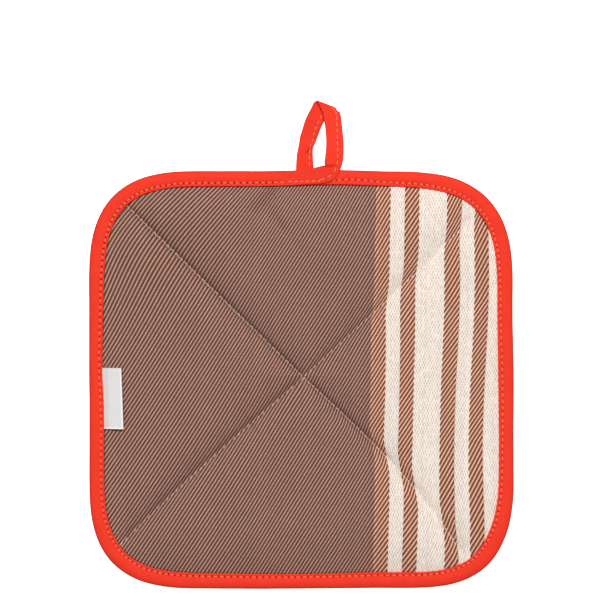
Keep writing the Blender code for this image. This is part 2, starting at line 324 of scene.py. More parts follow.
class Shader:
    """A material in the making. Each call takes numbers, colours or sockets and gives a socket."""

    def __init__(self, name, roughness, sheen=0.0, specular=0.25):
        self.material = bpy.data.materials.new(name)
        self.material.use_nodes = True
        self.tree = self.material.node_tree
        self.surface = self.tree.nodes["Principled BSDF"]
        self.surface.inputs["Roughness"].default_value = roughness
        self.surface.inputs["Sheen Weight"].default_value = sheen
        self.surface.inputs["Specular IOR Level"].default_value = specular

    def put(self, kind, inputs, output=0, **settings):
        node = self.tree.nodes.new(kind)
        for key, value in settings.items():
            setattr(node, key, value)
        for key, value in inputs.items():
            if isinstance(value, bpy.types.NodeSocket):
                self.tree.links.new(value, node.inputs[key])
            else:
                node.inputs[key].default_value = value
        return node.outputs[output]

    def math(self, operation, *values):
        return self.put("ShaderNodeMath", dict(enumerate(values)), operation=operation)

    def add(self, *values):
        return reduce(lambda first, second: self.math("ADD", first, second), values)

    def times(self, *values):
        return reduce(lambda first, second: self.math("MULTIPLY", first, second), values)

    def minus(self, first, second):
        return self.math("SUBTRACT", first, second)

    def rest(self, share):
        """What a share leaves of 1."""
        return self.minus(1.0, share)

    def floor(self, value):
        return self.math("FLOOR", value)

    def in_cell(self, value):
        """Place about the middle of a cell of length 1, from -0.5 to 0.5."""
        return self.minus(self.math("FRACT", value), 0.5)

    def vary(self, value, spread):
        """A factor about 1 from a number from 0 to 1."""
        return self.math("MULTIPLY_ADD", value, spread, 1.0 - spread / 2.0)

    def wave(self, turns):
        """A cosine from 0 to 1 of a number of turns."""
        return self.math("MULTIPLY_ADD", self.math("COSINE", self.times(turns, math.tau)), 0.5, 0.5)

    def step(self, value, low, high):
        """0 below low and 1 above high, smooth between."""
        return self.put("ShaderNodeMapRange", {0: value, 1: low, 2: high, 3: 0.0, 4: 1.0},
                        interpolation_type="SMOOTHSTEP")

    def between(self, value, low, high, soft):
        """1 between low and high."""
        return self.times(self.step(value, low - soft, low + soft),
                          self.rest(self.step(value, high - soft, high + soft)))

    def mix(self, share, first, second):
        return self.put("ShaderNodeMix", {0: share, 6: first, 7: second}, output=2,
                        data_type="RGBA")

    def scale_colour(self, colour, factor):
        """A colour made lighter or darker by a number."""
        grey = self.put("ShaderNodeCombineColor", {0: factor, 1: factor, 2: factor})
        return self.put("ShaderNodeMix", {0: 1.0, 6: colour, 7: grey}, output=2,
                        data_type="RGBA", blend_type="MULTIPLY")

    def attribute(self, name):
        """The three numbers of a vertex attribute, as sockets."""
        vector = self.put("ShaderNodeAttribute", {}, output="Vector", attribute_name=name)
        parts = self.put("ShaderNodeSeparateXYZ", {0: vector})
        return [parts.node.outputs[axis] for axis in range(3)]

    def join(self, x, y):
        return self.put("ShaderNodeCombineXYZ", {0: x, 1: y})

    def clouds(self, x, y, scale):
        """Noise about 0.5."""
        return self.put("ShaderNodeTexNoise", {"Vector": self.join(x, y), "Scale": scale,
                                               "Detail": 3.0})

    def random(self, x, y=0.0):
        """A different number from 0 to 1 for each whole x and y."""
        return self.put("ShaderNodeTexWhiteNoise", {"Vector": self.join(x, y)})

    def finish(self, colour, height, depth_mm, strength):
        """Sets the colour and a bump of the given depth, and gives the material."""
        self.tree.links.new(colour, self.surface.inputs["Base Color"])
        bump = self.put("ShaderNodeBump", {"Strength": strength, "Distance": depth_mm * MM,
                                           "Height": height})
        self.tree.links.new(bump, self.surface.inputs["Normal"])
        return self.material


# ---------------------------------------------------------------- face cloth

END_MM = 0.43  # width of one lengthwise thread
PICK_MM = 0.351  # width of one crosswise thread
ENDS_PER_REPEAT = 4
PICKS_PER_REPEAT = 8
TWILL_X = 1.0 / (ENDS_PER_REPEAT * END_MM)  # turns of the twill for each millimetre
TWILL_Y = 1.0 / (PICKS_PER_REPEAT * PICK_MM)
LINE_PHASE = 0.19  # the middle of a raised line, in turns from the first lengthwise thread's side
OVER_SHARE = 0.3  # the part of a turn in which the lengthwise thread lies on top
THREAD_ROUND = 2.6

PEACH_START = 32.95
CREAM_BANDS = (  # (left side, right side), in millimetres of cloth from the pad's middle
    (40.1, 46.7),
    (53.5, 66.45),
    (73.55, 80.35),
    (87.15, 110.0),
)
DOTS_PER_MM = 0.8
WARP_COLOURS = (srgb(206, 158, 138), srgb(190, 162, 152), srgb(253, 198, 170))  # the last is peach
WEFT_COLOURS = (srgb(113, 58, 38), srgb(95, 62, 50), srgb(125, 71, 47))
CREAM_COLOUR = srgb(255, 244, 231)
# Painted shade in the hollows of the cream weave
CREAM_DOT_SHADE_COLOUR = srgb(214, 191, 180)
CREAM_HOLES = 0.8  # how much less the needle holes show on cream
# Painted shade in the needle holes of the quilting
HOLE_SHADE_COLOUR = srgb(36, 14, 9)
HOLE_RADIUS = 0.7
HOLE_SHADE_AMOUNT = 0.065  # painted shade in the needle holes, faint, since the pits in the cloth shade them as well
# Painted shadow in the slit where the cloth dives under the tape, and beside the label
SLIT_SHADOW_COLOUR = srgb(60, 8, 4)

# How far the cloth of each quarter lies to the right, in millimetres
SHIFT_SIDES = (-15.0, 25.0)
TOP_SHIFT, TOP_SHIFT_Y, TOP_SHIFT_SLOPE = 2.26, 78.0, 0.028
BOTTOM_SHIFT, BOTTOM_SHIFT_Y, BOTTOM_SHIFT_SLOPE = 1.5, -58.0, 0.016
RIGHT_SHIFT, RIGHT_SHIFT_MORE, RIGHT_SHIFT_SIDES = 0.6, 1.3, (40.0, 80.0)
RIGHT_MIDDLE, RIGHT_ABOVE, RIGHT_BELOW, RIGHT_SHARE_BELOW = 4.3, 51.0, 75.0, 0.62
SEAM_BLEND = 5.0  # nearer to a seam than this, the cloth of both quarters runs together
SEAM_TAKE_UP, SEAM_TAKE_REACH = 0.55, 7.0
# How far the twill is drawn askew, in turns: where it begins, how much, and how far it reaches
LEFT_ASKEW, LEFT_ASKEW_SIDES, LEFT_ASKEW_Y, LEFT_ASKEW_REACH = 4.7, (-90.6, 2.0), 71.5, 33.5
LEFT_STRETCH_X, LEFT_STRETCH = -28.7, 4.1e-4
DENT_X, DENT_ASKEW, DENT_WIDTH, DENT_Y, DENT_REACH = 4.0, 1.4, 28.6, 90.0, 25.1
MIDDLE_SLOPE, MIDDLE_SIDES = 0.0232, (-25.0, 32.0)
LOW_LEFT_SLOPE, LOW_LEFT_Y, LOW_LEFT_SIDES = 0.01, -20.0, (-60.0, 0.0)
TOP_ROW_BEND, TOP_ROW_X, TOP_ROW_Y, TOP_ROW_REACH = 0.0045, -20.0, 78.0, 30.0
RIGHT_SLOPE, RIGHT_SLOPE_X = 0.042, 46.8
LOW_RIGHT_SLOPE, LOW_RIGHT_Y, LOW_RIGHT_SIDES = 0.085, -28.7, (32.7, 94.0)
HIGH_RIGHT_SLOPE, HIGH_RIGHT_Y, HIGH_RIGHT_SIDES = 0.064, 37.3, (56.0, 84.0)


def cloth_shift(quarter, x, y):
    """How far the cloth of one quarter lies to the right of its even place, in millimetres."""
    to_right = smooth_step(x, *SHIFT_SIDES)
    if quarter == TOP:
        return (TOP_SHIFT - TOP_SHIFT_SLOPE * (TOP_SHIFT_Y - y)) * to_right
    if quarter == BOTTOM:
        return (BOTTOM_SHIFT - BOTTOM_SHIFT_SLOPE * past(-y, -BOTTOM_SHIFT_Y)) * to_right
    if quarter == LEFT:
        return np.zeros_like(x)
    above = np.sin(ramp(y, RIGHT_MIDDLE, RIGHT_MIDDLE + RIGHT_ABOVE) * QUARTER_TURN)
    below = np.sin(ramp(-y, -RIGHT_MIDDLE, RIGHT_BELOW - RIGHT_MIDDLE) * math.pi)
    most = RIGHT_SHIFT + RIGHT_SHIFT_MORE * smooth_step(x, *RIGHT_SHIFT_SIDES)
    return most * (above - RIGHT_SHARE_BELOW * below)


def turns_askew(x, y):
    """How far the twill is drawn askew: turns taken across both threads, and along the stripes."""
    to_left = 1.0 - smooth_step(x, *LEFT_ASKEW_SIDES)
    drawn = LEFT_ASKEW * to_left ** 2 * bell(y - LEFT_ASKEW_Y, LEFT_ASKEW_REACH)
    drawn += LEFT_STRETCH * past(-x, -LEFT_STRETCH_X) ** 2
    # Drawn together at the dent below the loop and beside it
    beside = (x - DENT_X) / DENT_WIDTH
    bunched = DENT_ASKEW * beside * np.exp((1.0 - beside ** 2) / 2.0) * bell(DENT_Y - y, DENT_REACH)
    bunched += MIDDLE_SLOPE * np.clip(x - MIDDLE_SIDES[0], 0.0, MIDDLE_SIDES[1] - MIDDLE_SIDES[0])
    bunched += LOW_LEFT_SLOPE * past(-y, -LOW_LEFT_Y) * (1.0 - smooth_step(x, *LOW_LEFT_SIDES))
    top_row = np.exp(-(((x - TOP_ROW_X) / TOP_ROW_REACH) ** 4))
    bunched -= TOP_ROW_BEND * past(y, TOP_ROW_Y) ** 2 * top_row
    # Stretched towards the right side and its corners
    bunched -= RIGHT_SLOPE * past(x, RIGHT_SLOPE_X)
    bunched -= LOW_RIGHT_SLOPE * past(-y, -LOW_RIGHT_Y) * ramp(x, *LOW_RIGHT_SIDES)
    bunched += HIGH_RIGHT_SLOPE * past(y, HIGH_RIGHT_Y) * ramp(x, *HIGH_RIGHT_SIDES)
    return drawn, bunched


def cloth_place(x, y):
    """Place in the flat cloth of each point of the pad: across and along the stripes."""
    place = seam_place(x, y)
    own = np.zeros_like(x)
    other = np.zeros_like(x)
    for index in range(ARMS):
        shift = cloth_shift(index, x, y)
        own = np.where(place.quarter == index, shift, own)
        other = np.where(place.neighbour == index, shift, other)
    share = 0.5 * (1.0 - smooth_step(place.off, 0.0, SEAM_BLEND))
    # The slopes beside the seams take up some of the cloth
    taken = place.off / SEAM_TAKE_REACH
    taken = SEAM_TAKE_UP * taken * np.exp(1.0 - taken)
    drawn, bunched = turns_askew(x, y)
    drawn = drawn / (TWILL_X ** 2 + TWILL_Y ** 2)
    across = x - (own * (1.0 - share) + other * share) + taken * place.away[0] + drawn * TWILL_X
    along = y + taken * place.away[1] - drawn * TWILL_Y - bunched / TWILL_Y
    return across, along


def twill_threads(cloth, ends, picks):
    """How far the lengthwise threads show, the number of the twill's line, and the relief.

    Ends and picks are the places counted in threads.
    """
    cell_turn = cloth.minus(cloth.times(cloth.floor(ends), 1.0 / ENDS_PER_REPEAT),
                            cloth.times(cloth.floor(picks), 1.0 / PICKS_PER_REPEAT))
    turn = cloth.minus(cloth.times(ends, 1.0 / ENDS_PER_REPEAT),
                       cloth.times(picks, 1.0 / PICKS_PER_REPEAT))
    line = cloth.wave(cloth.minus(turn, LINE_PHASE))
    over = cloth.math("LESS_THAN", cloth.math("FRACT", cell_turn), OVER_SHARE)
    shows = cloth.add(cloth.times(over, 0.4), cloth.times(cloth.step(line, 0.45, 1.0), 0.6))
    round_end = cloth.math("COSINE", cloth.times(cloth.in_cell(ends), THREAD_ROUND))
    round_pick = cloth.math("COSINE", cloth.times(cloth.in_cell(picks), THREAD_ROUND))
    relief = cloth.add(cloth.times(over, round_end, 0.6),
                       cloth.times(cloth.rest(over), round_pick, 0.3), cloth.times(line, 0.8))
    return shows, cloth.floor(cell_turn), relief


def twill_colour(cloth, end, pick, line, peach, cloud, shows):
    """Colour of the lengthwise threads where they show and of the crosswise ones between them."""
    hue = cloth.random(end, cloth.add(line, 0.5))
    light = cloth.mix(peach, cloth.mix(hue, *WARP_COLOURS[:2]), WARP_COLOURS[2])
    tone = cloth.times(end_tone(cloth, end), cloth.vary(cloth.random(end, line), 0.16),
                       cloth.vary(cloud, 0.16))
    hue = cloth.random(pick, cloth.add(end, 0.5))
    dark = cloth.mix(peach, cloth.mix(hue, *WEFT_COLOURS[:2]), WEFT_COLOURS[2])
    dark = cloth.scale_colour(dark, cloth.vary(cloth.random(pick, end), 0.3))
    return cloth.mix(shows, dark, cloth.scale_colour(light, tone))


def end_tone(cloth, end):
    """Each lengthwise thread is a little lighter or darker."""
    return cloth.vary(cloth.random(end, 3.0), 0.1)


def cream_dots(cloth, across, along):
    """Painted shade of fine dots in the cream bands' weave, each column of them half a step from the
    next.
    """
    column = cloth.times(across, DOTS_PER_MM)
    row = cloth.times(along, TWILL_Y)
    dots = cloth.times(cloth.minus(cloth.wave(column), 0.5), cloth.minus(cloth.wave(row), 0.5))
    depth = cloth.random(cloth.floor(cloth.times(column, 2.0)), cloth.floor(cloth.times(row, 2.0)))
    return cloth.times(cloth.step(dots, -0.13, 0.2), cloth.math("MULTIPLY_ADD", depth, 0.95, 0.35))


def face_cloth():
    """Steep twill with warp stripes: taupe, peach and brown, and dotted cream bands."""
    cloth = Shader("face_twill", 0.8, sheen=0.12)
    across, along, from_lip = cloth.attribute("cloth")
    turn, from_holes, _ = cloth.attribute("seam")
    ends = cloth.times(across, 1.0 / END_MM)
    picks = cloth.times(along, 1.0 / PICK_MM)
    end = cloth.floor(ends)
    shows, line, relief = twill_threads(cloth, ends, picks)
    # Where each stripe lies; its sides are notched by the twill
    side = cloth.add(across, cloth.times(cloth.in_cell(cloth.times(along, TWILL_Y)), 0.3),
                     cloth.times(cloth.rest(shows), 0.28))
    peach = cloth.step(across, PEACH_START - 0.2, PEACH_START + 0.2)
    cream = cloth.add(*[cloth.between(side, low, high, 0.06) for low, high in CREAM_BANDS])
    cloud = cloth.clouds(across, along, 0.05)
    twill = twill_colour(cloth, end, cloth.floor(picks), line, peach, cloud, shows)
    dots = cream_dots(cloth, across, along)
    dotted = cloth.scale_colour(cloth.mix(dots, CREAM_COLOUR, CREAM_DOT_SHADE_COLOUR), end_tone(cloth, end))
    # the tone attribute carries painted light and shade
    colour = cloth.scale_colour(cloth.mix(cream, twill, dotted), cloth.attribute("tone")[0])
    relief = cloth.add(cloth.times(relief, cloth.rest(cream)),
                       cloth.times(cream, cloth.rest(dots), 0.8))
    # Painted shade in the needle holes along the quilting, and painted shadow in the slit beside the
    # tape and the label
    plain = cloth.math("MULTIPLY_ADD", cream, -CREAM_HOLES, 1.0)
    hole = cloth.times(needle_holes(cloth, turn, from_holes, HOLE_RADIUS), plain, HOLE_SHADE_AMOUNT)
    colour = cloth.mix(hole, colour, HOLE_SHADE_COLOUR)
    # painted shadow along the tape's lip and the label's edges
    slit = cloth.times(cloth.rest(cloth.step(from_lip, 0.1, 0.65)), plain, 0.6)
    return cloth.finish(cloth.mix(slit, colour, SLIT_SHADOW_COLOUR), relief, 0.16, 0.8)


def needle_holes(shader, turn, off, radius):
    """1 in the holes of a row of stitches, from the place in stitches and the distance to it."""
    along = shader.times(shader.in_cell(shader.add(turn, 0.5)), STITCH_PITCH)
    distance = shader.math("SQRT", shader.add(shader.times(along, along), shader.times(off, off)))
    return shader.rest(shader.step(distance, radius * 0.5, radius))


# ---------------------------------------------------------------- plain cloths and thread

DIAGONAL = 0.7071  # a step along a thread that runs slantwise, for a step along the tape

def plain_cloth(shader, colour, thread_mm, across, along, tone=0.1):
    """Colour and relief of a plain weave, its threads over and under each other."""
    end = shader.times(across, 1.0 / thread_mm)
    pick = shader.times(along, 1.0 / thread_mm)
    parity = shader.math("MODULO", shader.math("ABSOLUTE", shader.add(
        shader.floor(end), shader.floor(pick))), 2.0)
    over_end = shader.math("ABSOLUTE", shader.math("SINE", shader.times(end, math.pi)))
    over_pick = shader.math("ABSOLUTE", shader.math("SINE", shader.times(pick, math.pi)))
    relief = shader.add(shader.times(over_end, shader.rest(parity)), shader.times(over_pick, parity))
    threads = shader.add(shader.random(shader.floor(end), 1.0), shader.random(shader.floor(pick), 2.0))
    # each thread's own tone and soft clouds, times painted shade where the threads dip under each
    # other
    factor = shader.times(shader.math("MULTIPLY_ADD", threads, tone / 2.0, 1.0 - tone),
                          shader.math("MULTIPLY_ADD", shader.clouds(across, along, 0.12), 0.12, 0.96),
                          shader.math("MULTIPLY_ADD", relief, 0.14, 0.88))
    return shader.scale_colour(colour, factor), relief


def tape_cloth():
    """Bright red-orange cotton tape, cut on the bias."""
    tape = Shader("binding_cotton", 0.85, specular=0.02)
    along, across, painted_shade = tape.attribute("cloth")
    first = tape.times(tape.add(along, across), DIAGONAL)
    second = tape.times(tape.minus(along, across), DIAGONAL)
    colour, relief = plain_cloth(tape, srgb(255, 66, 47), 0.36, first, second, 0.06)
    # Painted shade in the needle holes
    turn, off, hole_shade = tape.attribute("seam")
    hole = tape.times(needle_holes(tape, turn, off, 0.66), hole_shade)
    # painted shade in pressed creases and along the tape's edges, over the needle holes
    colour = tape.mix(painted_shade, tape.mix(hole, colour, srgb(112, 4, 3)), srgb(180, 16, 9))
    return tape.finish(colour, relief, 0.06, 0.6)


def back_cloth():
    """Plain taupe cotton, a guess at the side that isn't seen."""
    cloth = Shader("back_cotton", 0.85, sheen=0.1)
    across, along, _ = cloth.attribute("cloth")
    colour, relief = plain_cloth(cloth, srgb(168, 132, 116), 0.5, across, along)
    return cloth.finish(colour, relief, 0.06, 0.7)


def label_cloth():
    """Off-white woven ribbon, with a painted highlight along its fold and its lower edge."""
    ribbon = Shader("label_satin", 0.6, sheen=0.1)
    across, along, share = ribbon.attribute("cloth")
    colour, relief = plain_cloth(ribbon, srgb(238, 236, 234), 0.25, across, along, 0.03)
    # painted highlight along the lower edge and the fold
    edge = ribbon.math("MINIMUM", 1.0, ribbon.add(ribbon.step(share, 0.965, 0.98),
                                                  ribbon.step(across, 7.8, 8.0)))
    return ribbon.finish(ribbon.mix(edge, colour, srgb(252, 251, 250)), relief, 0.03, 0.5)


def thread_material(name, colour, spread, colour_at_right=None):
    """Sewing thread with a twist and a slightly different tone for each stitch."""
    thread = Shader(name, 0.6, sheen=0.05)
    way, angle, number = thread.attribute("thread")
    twist = thread.wave(thread.add(thread.times(way, 2.4), thread.times(angle, 1.0 / math.tau)))
    if colour_at_right:
        colour = thread.mix(thread.attribute("pale")[0], colour, colour_at_right)
    # the colour darkens along the twist's grooves as painted shade, on top of each stitch's own tone
    tone = thread.times(thread.vary(thread.random(number), spread), thread.vary(twist, 0.12))
    return thread.finish(thread.scale_colour(colour, tone), twist, 0.03, 0.6)


# ---------------------------------------------------------------- quilted body

# Heights at the edge and insets of it, then the puff of the quarters and where it is reached
PAD_EDGE_TOP = 4.4
PAD_EDGE_MIDDLE = 3.6
PAD_EDGE_BOTTOM = 2.8
PAD_EDGE_INSET = 3.2
PAD_RIM_INSET = 1.9
FLAT_MARGIN = 7.2
SEAM_LIFT = 0.9
SEAM_DROP = 0.4
SEAM_LIFT_REACH = 40.0
TOP_PUFF = 2.7
BOTTOM_PUFF = 3.4
PUFF_REACH = 17.0
EDGE_PUFF_REACH = 22.0
PUFF_POWER = 2.2
LEAST_THICKNESS = 0.9

SPOKES_PER_QUARTER = 110
SPOKE_CROWDING = 0.6  # 0 is even, towards 1 crowds the spokes beside the seams
TOP_RINGS = 160
BOTTOM_RINGS = 30

# Creases of the seams, which are shallower, wider and sharper on the cream bands
CREASE_REACH = 1.45
CREASE_REACH_BELOW = 0.9
VALLEY_REACH = 7.0
CREAM_SIDES = (32.0, 60.0)
CREAM_CREASE_LESS = 0.35
CREAM_CREASE_WIDER = 0.8
CREAM_CREASE_SHARP = 1.3
PIT_DEPTH = 0.35
PIT_REACH = 0.6
BACK_DETAIL = 0.45  # the back's creases are this share of the face's
PUCKER_HEIGHT = 0.09
PUCKER_REACH = 2.2
WRINKLE_HEIGHT = 0.3
WRINKLE_REACH = 8.0
WRINKLE_SIZE = 5.5
SWELL_HEIGHT = 0.3
SWELL_SIZE = 24.0
EDGE_SCALLOP = 0.1
EDGE_SCALLOP_REACH = 1.2
TROUGHS = (  # dents by the loop: start column, row, end column, row, depth, reach
    (273.0, 189.0, 249.0, 219.0, 0.65, 3.0),
    (262.0, 206.0, 322.0, 270.0, 0.4, 2.4),
)

# Painted shades of the cloth by the seams: millimetres above or below the stitches, and how far they
# reach
FOLD_ABOVE = 0.35
FOLD_REACH = 0.6
HOOK_SHADE_LOW = 1.05
HOOK_SHADE_REACH = 0.5
SLOPE_ABOVE = 2.3
SLOPE_REACH = 1.6
SLOPE_DARK = 0.04
TAUPE_SIDES = (32.0, 50.0)
LIGHT_AND_SHADE_STREAKS = (  # painted light and shade in streaks: start column, row, end column, row, change, reach
    (272.0, 190.0, 256.0, 209.0, -0.16, 2.7),
    (272.0, 210.0, 284.0, 228.0, -0.12, 1.8),
    (284.0, 228.0, 322.0, 270.0, -0.035, 2.6),
    (262.0, 226.0, 268.0, 240.0, 0.03, 6.0),
    (325.0, 232.0, 342.0, 238.0, 0.03, 6.0),
    (205.0, 225.0, 222.0, 285.0, -0.035, 7.0),
    (322.0, 278.0, 350.0, 268.0, -0.03, 7.0),
    (165.0, 205.0, 235.0, 196.0, 0.03, 4.0),
    (290.0, 196.0, 360.0, 197.0, 0.03, 4.0),
    (106.0, 215.0, 106.0, 540.0, 0.06, 8.0),
    (414.0, 462.0, 440.0, 506.0, 0.05, 5.0),
    (330.0, 398.0, 368.0, 429.0, -0.05, 2.0),
    (158.0, 496.0, 215.0, 446.0, -0.035, 4.0),
)
CREAM_EDGES = (  # sharp painted shades of the folds on cream: arm, millimetres above it, darkness, reach
    (0, -0.9, 0.03, 2.5),
    (3, 0.0, 0.035, 3.0),
)


def rise(distance, reach):
    """0 at a seam and 1 from reach on: steep beside the seam, level at the top."""
    return 1.0 - (1.0 - ramp(distance, 0.0, reach)) ** PUFF_POWER


def pad_heights(x, y, finer=True):
    """Top and underside of the quilted body over each point."""
    inside = distance_to_line(x, y, OUTLINE) - FLAT_MARGIN
    place = seam_place(x, y)
    lift = rise(inside, SEAM_LIFT_REACH)
    puff = rise(place.off, PUFF_REACH) * rise(inside, EDGE_PUFF_REACH)
    top = PAD_EDGE_TOP + SEAM_LIFT * lift + TOP_PUFF * puff
    bottom = PAD_EDGE_BOTTOM - SEAM_DROP * lift - BOTTOM_PUFF * puff
    if finer:
        detail = cloth_detail(x, y, inside, place)
        top += detail
        bottom = bottom - BACK_DETAIL * detail * smooth_step(bottom, 0.1, 1.2)
    return top, np.clip(bottom, 0.0, top - LEAST_THICKNESS)


def seam_crease(place, cream):
    """Depth of the crease along the stitches."""
    past_bottom = place.above + ARM_CREASE_LOW[place.arm]
    reach = np.where(past_bottom > 0.0, CREASE_REACH, CREASE_REACH_BELOW)
    ratio = np.abs(past_bottom / (reach * (1.0 + CREAM_CREASE_WIDER * cream)))
    shape = (1.0 - cream) * bell(ratio, 1.0) + cream * np.exp(-CREAM_CREASE_SHARP * ratio)
    start = ARM_CREASE_START[place.arm]
    deep = ARM_CREASE[place.arm] * (1.0 - CREAM_CREASE_LESS * cream)
    return deep * shape * smooth_step(place.way, 0.3 * start - 1.0, start + 1.0)


def cloth_detail(x, y, inside, place):
    """Creases, stitch pits, puckers and soft unevenness, in millimetres of height."""
    off = place.off
    turn = place.way / ARM_PITCH[place.arm]
    cream = smooth_step(x, *CREAM_SIDES)
    pit = bell(place.above + ARM_HOLES_LOW[place.arm], PIT_REACH) * bell(from_hole(turn), PIT_REACH)
    pucker = -np.cos(math.tau * turn) * np.exp(-off / PUCKER_REACH) * smooth_step(off, 0.3, 1.4)
    lane = 400.0 * (x > y) + 200.0 * (x > -y)  # other wrinkles in each quarter
    wrinkles = wander(place.way, 0.35 * off + lane, WRINKLE_SIZE, 11.0, 2)
    fade = np.exp(-off / WRINKLE_REACH) * smooth_step(off, 0.2, 3.0)
    swell = wander(x, y, SWELL_SIZE, 5.0, 2) * smooth_step(off, 2.0, 14.0)
    detail = PUCKER_HEIGHT * pucker + WRINKLE_HEIGHT * wrinkles * fade + SWELL_HEIGHT * swell
    detail -= seam_crease(place, cream) + ARM_VALLEY[place.arm] * bell(off, VALLEY_REACH)
    detail -= PIT_DEPTH * (1.0 - cream) * pit
    detail *= smooth_step(inside, -1.0, 6.0)
    for *ends, deep, reach in TROUGHS:
        share, aside, _ = by_streak(x, y, ends)
        length = smooth_step(share, -0.2, 0.1) * (1.0 - smooth_step(share, 0.4, 1.15))
        detail -= deep * bell(aside, reach) * length
    scallop = np.cos(np.arctan2(y, x) * EDGE_STITCHES)
    return detail - EDGE_SCALLOP * scallop * np.exp(-past(inside, 0.0) / EDGE_SCALLOP_REACH)


def painted_light_and_shade(x, y, place):
    """Painted light and shade on the cloth: shade in the seams' folds and on their upper slopes, and
    lighter and darker streaks.
    """
    taupe = 1.0 - smooth_step(x, *TAUPE_SIDES)
    shade = ARM_FOLD_DARK[place.arm] * bell(place.above - FOLD_ABOVE, FOLD_REACH)
    shade += ARM_HOOK_SHADE[place.arm] * bell(place.above + HOOK_SHADE_LOW, HOOK_SHADE_REACH)
    slope = SLOPE_DARK * bell(place.above - SLOPE_ABOVE, SLOPE_REACH) * (place.arm > 0)
    tone = 1.0 - taupe * (shade * smooth_step(place.way, 0.0, 8.0)
                          + slope * smooth_step(place.way, 0.0, 12.0))
    for *ends, change, reach in LIGHT_AND_SHADE_STREAKS:
        share, aside, length = by_streak(x, y, ends)
        beyond = (share - np.clip(share, 0.0, 1.0)) * length
        tone += change * bell(np.hypot(aside, beyond), reach)
    for arm, start, dark, reach in CREAM_EDGES:
        above = place.above - start
        edge = smooth_step(above, -0.5, 0.5) * np.exp(-past(above, 0.0) / reach)
        tone -= dark * edge * smooth_step(x, 34.0, 42.0) * (place.arm == arm)
    return tone


def pad_spokes():
    """Quarter, share of the quarter and reach of each spoke."""
    step = np.tile(np.arange(SPOKES_PER_QUARTER) / SPOKES_PER_QUARTER, ARMS)
    quarter = np.repeat(np.arange(ARMS), SPOKES_PER_QUARTER)
    share = step - SPOKE_CROWDING * np.sin(math.tau * step) / math.tau
    start = arm_angle(quarter, 1.0)
    angle = start + (arm_angle(quarter + 1, 1.0) - start) * share
    return quarter, share, reach_to_outline(CROSSING, angle)


def spoke_places(spokes, radius):
    """Points on the spokes at the given distances from the crossing."""
    quarter, share, reach = spokes
    way = radius / reach
    start = arm_angle(quarter, way)
    angle = start + (arm_angle(quarter + 1, way) - start) * share
    return CROSSING[0] + radius * np.cos(angle), CROSSING[1] + radius * np.sin(angle)


def pad_surface(spokes, rings, side):
    """Rings of points from near the crossing out to the covered edge, on one side of the pad."""
    ring = np.arange(1, rings + 1)[:, None]
    x, y = spoke_places(spokes, (spokes[2] - PAD_EDGE_INSET) * ring / rings)
    return np.stack([x, y, pad_heights(x, y)[side]], 2)


def build_quilted_body(face, back):
    """Face cloth and back cloth over the wadding, joined at the rim under the binding."""
    spokes = pad_spokes()
    top = pad_surface(spokes, TOP_RINGS, 0)
    bottom = pad_surface(spokes, BOTTOM_RINGS, 1)
    rim_x, rim_y = spoke_places(spokes, spokes[2] - PAD_RIM_INSET)
    count = len(rim_x)
    rim = np.stack([rim_x, rim_y, np.full(count, PAD_EDGE_MIDDLE)], 1)
    rings = np.vstack([top, rim[None], bottom[::-1]])
    points = np.vstack([rings.reshape(-1, 3), [*CROSSING, top[0, :, 2].mean() - 0.1],
                        [*CROSSING, bottom[-1, :, 2].mean()]])
    middle_top, middle_bottom = len(points) - 2, len(points) - 1
    index = np.arange(count)
    beside = (index + 1) % count
    last = middle_top - count
    faces = grid_faces(len(rings), count)[:, ::-1].tolist()
    faces += np.stack([index, beside, np.full(count, middle_top)], 1).tolist()
    faces += np.stack([last + beside, last + index, np.full(count, middle_bottom)], 1).tolist()
    on_face = count * (TOP_RINGS - 1)
    on_back = len(faces) - 2 * count - on_face
    x, y = points[:, 0], points[:, 1]
    place = seam_place(x, y)
    # distance to the lines along which the face cloth gets a painted shadow
    from_lip = distance_to_line(x, y, np.vstack([lip_line(), label_line()]))
    attributes = {"cloth": triples(*cloth_place(x, y), from_lip),
                  # tone carries painted light and shade
                  "tone": triples(painted_light_and_shade(x, y, place)),
                  "seam": triples(place.way / ARM_PITCH[place.arm],
                                  place.above + ARM_HOLES_LOW[place.arm])}
    piece = make_piece("quilted_body", points, faces, [face, back], attributes,
                       [0] * on_face + [1] * on_back + [0] * count + [1] * count)
    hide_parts("quilted_pad")


# ---------------------------------------------------------------- binding

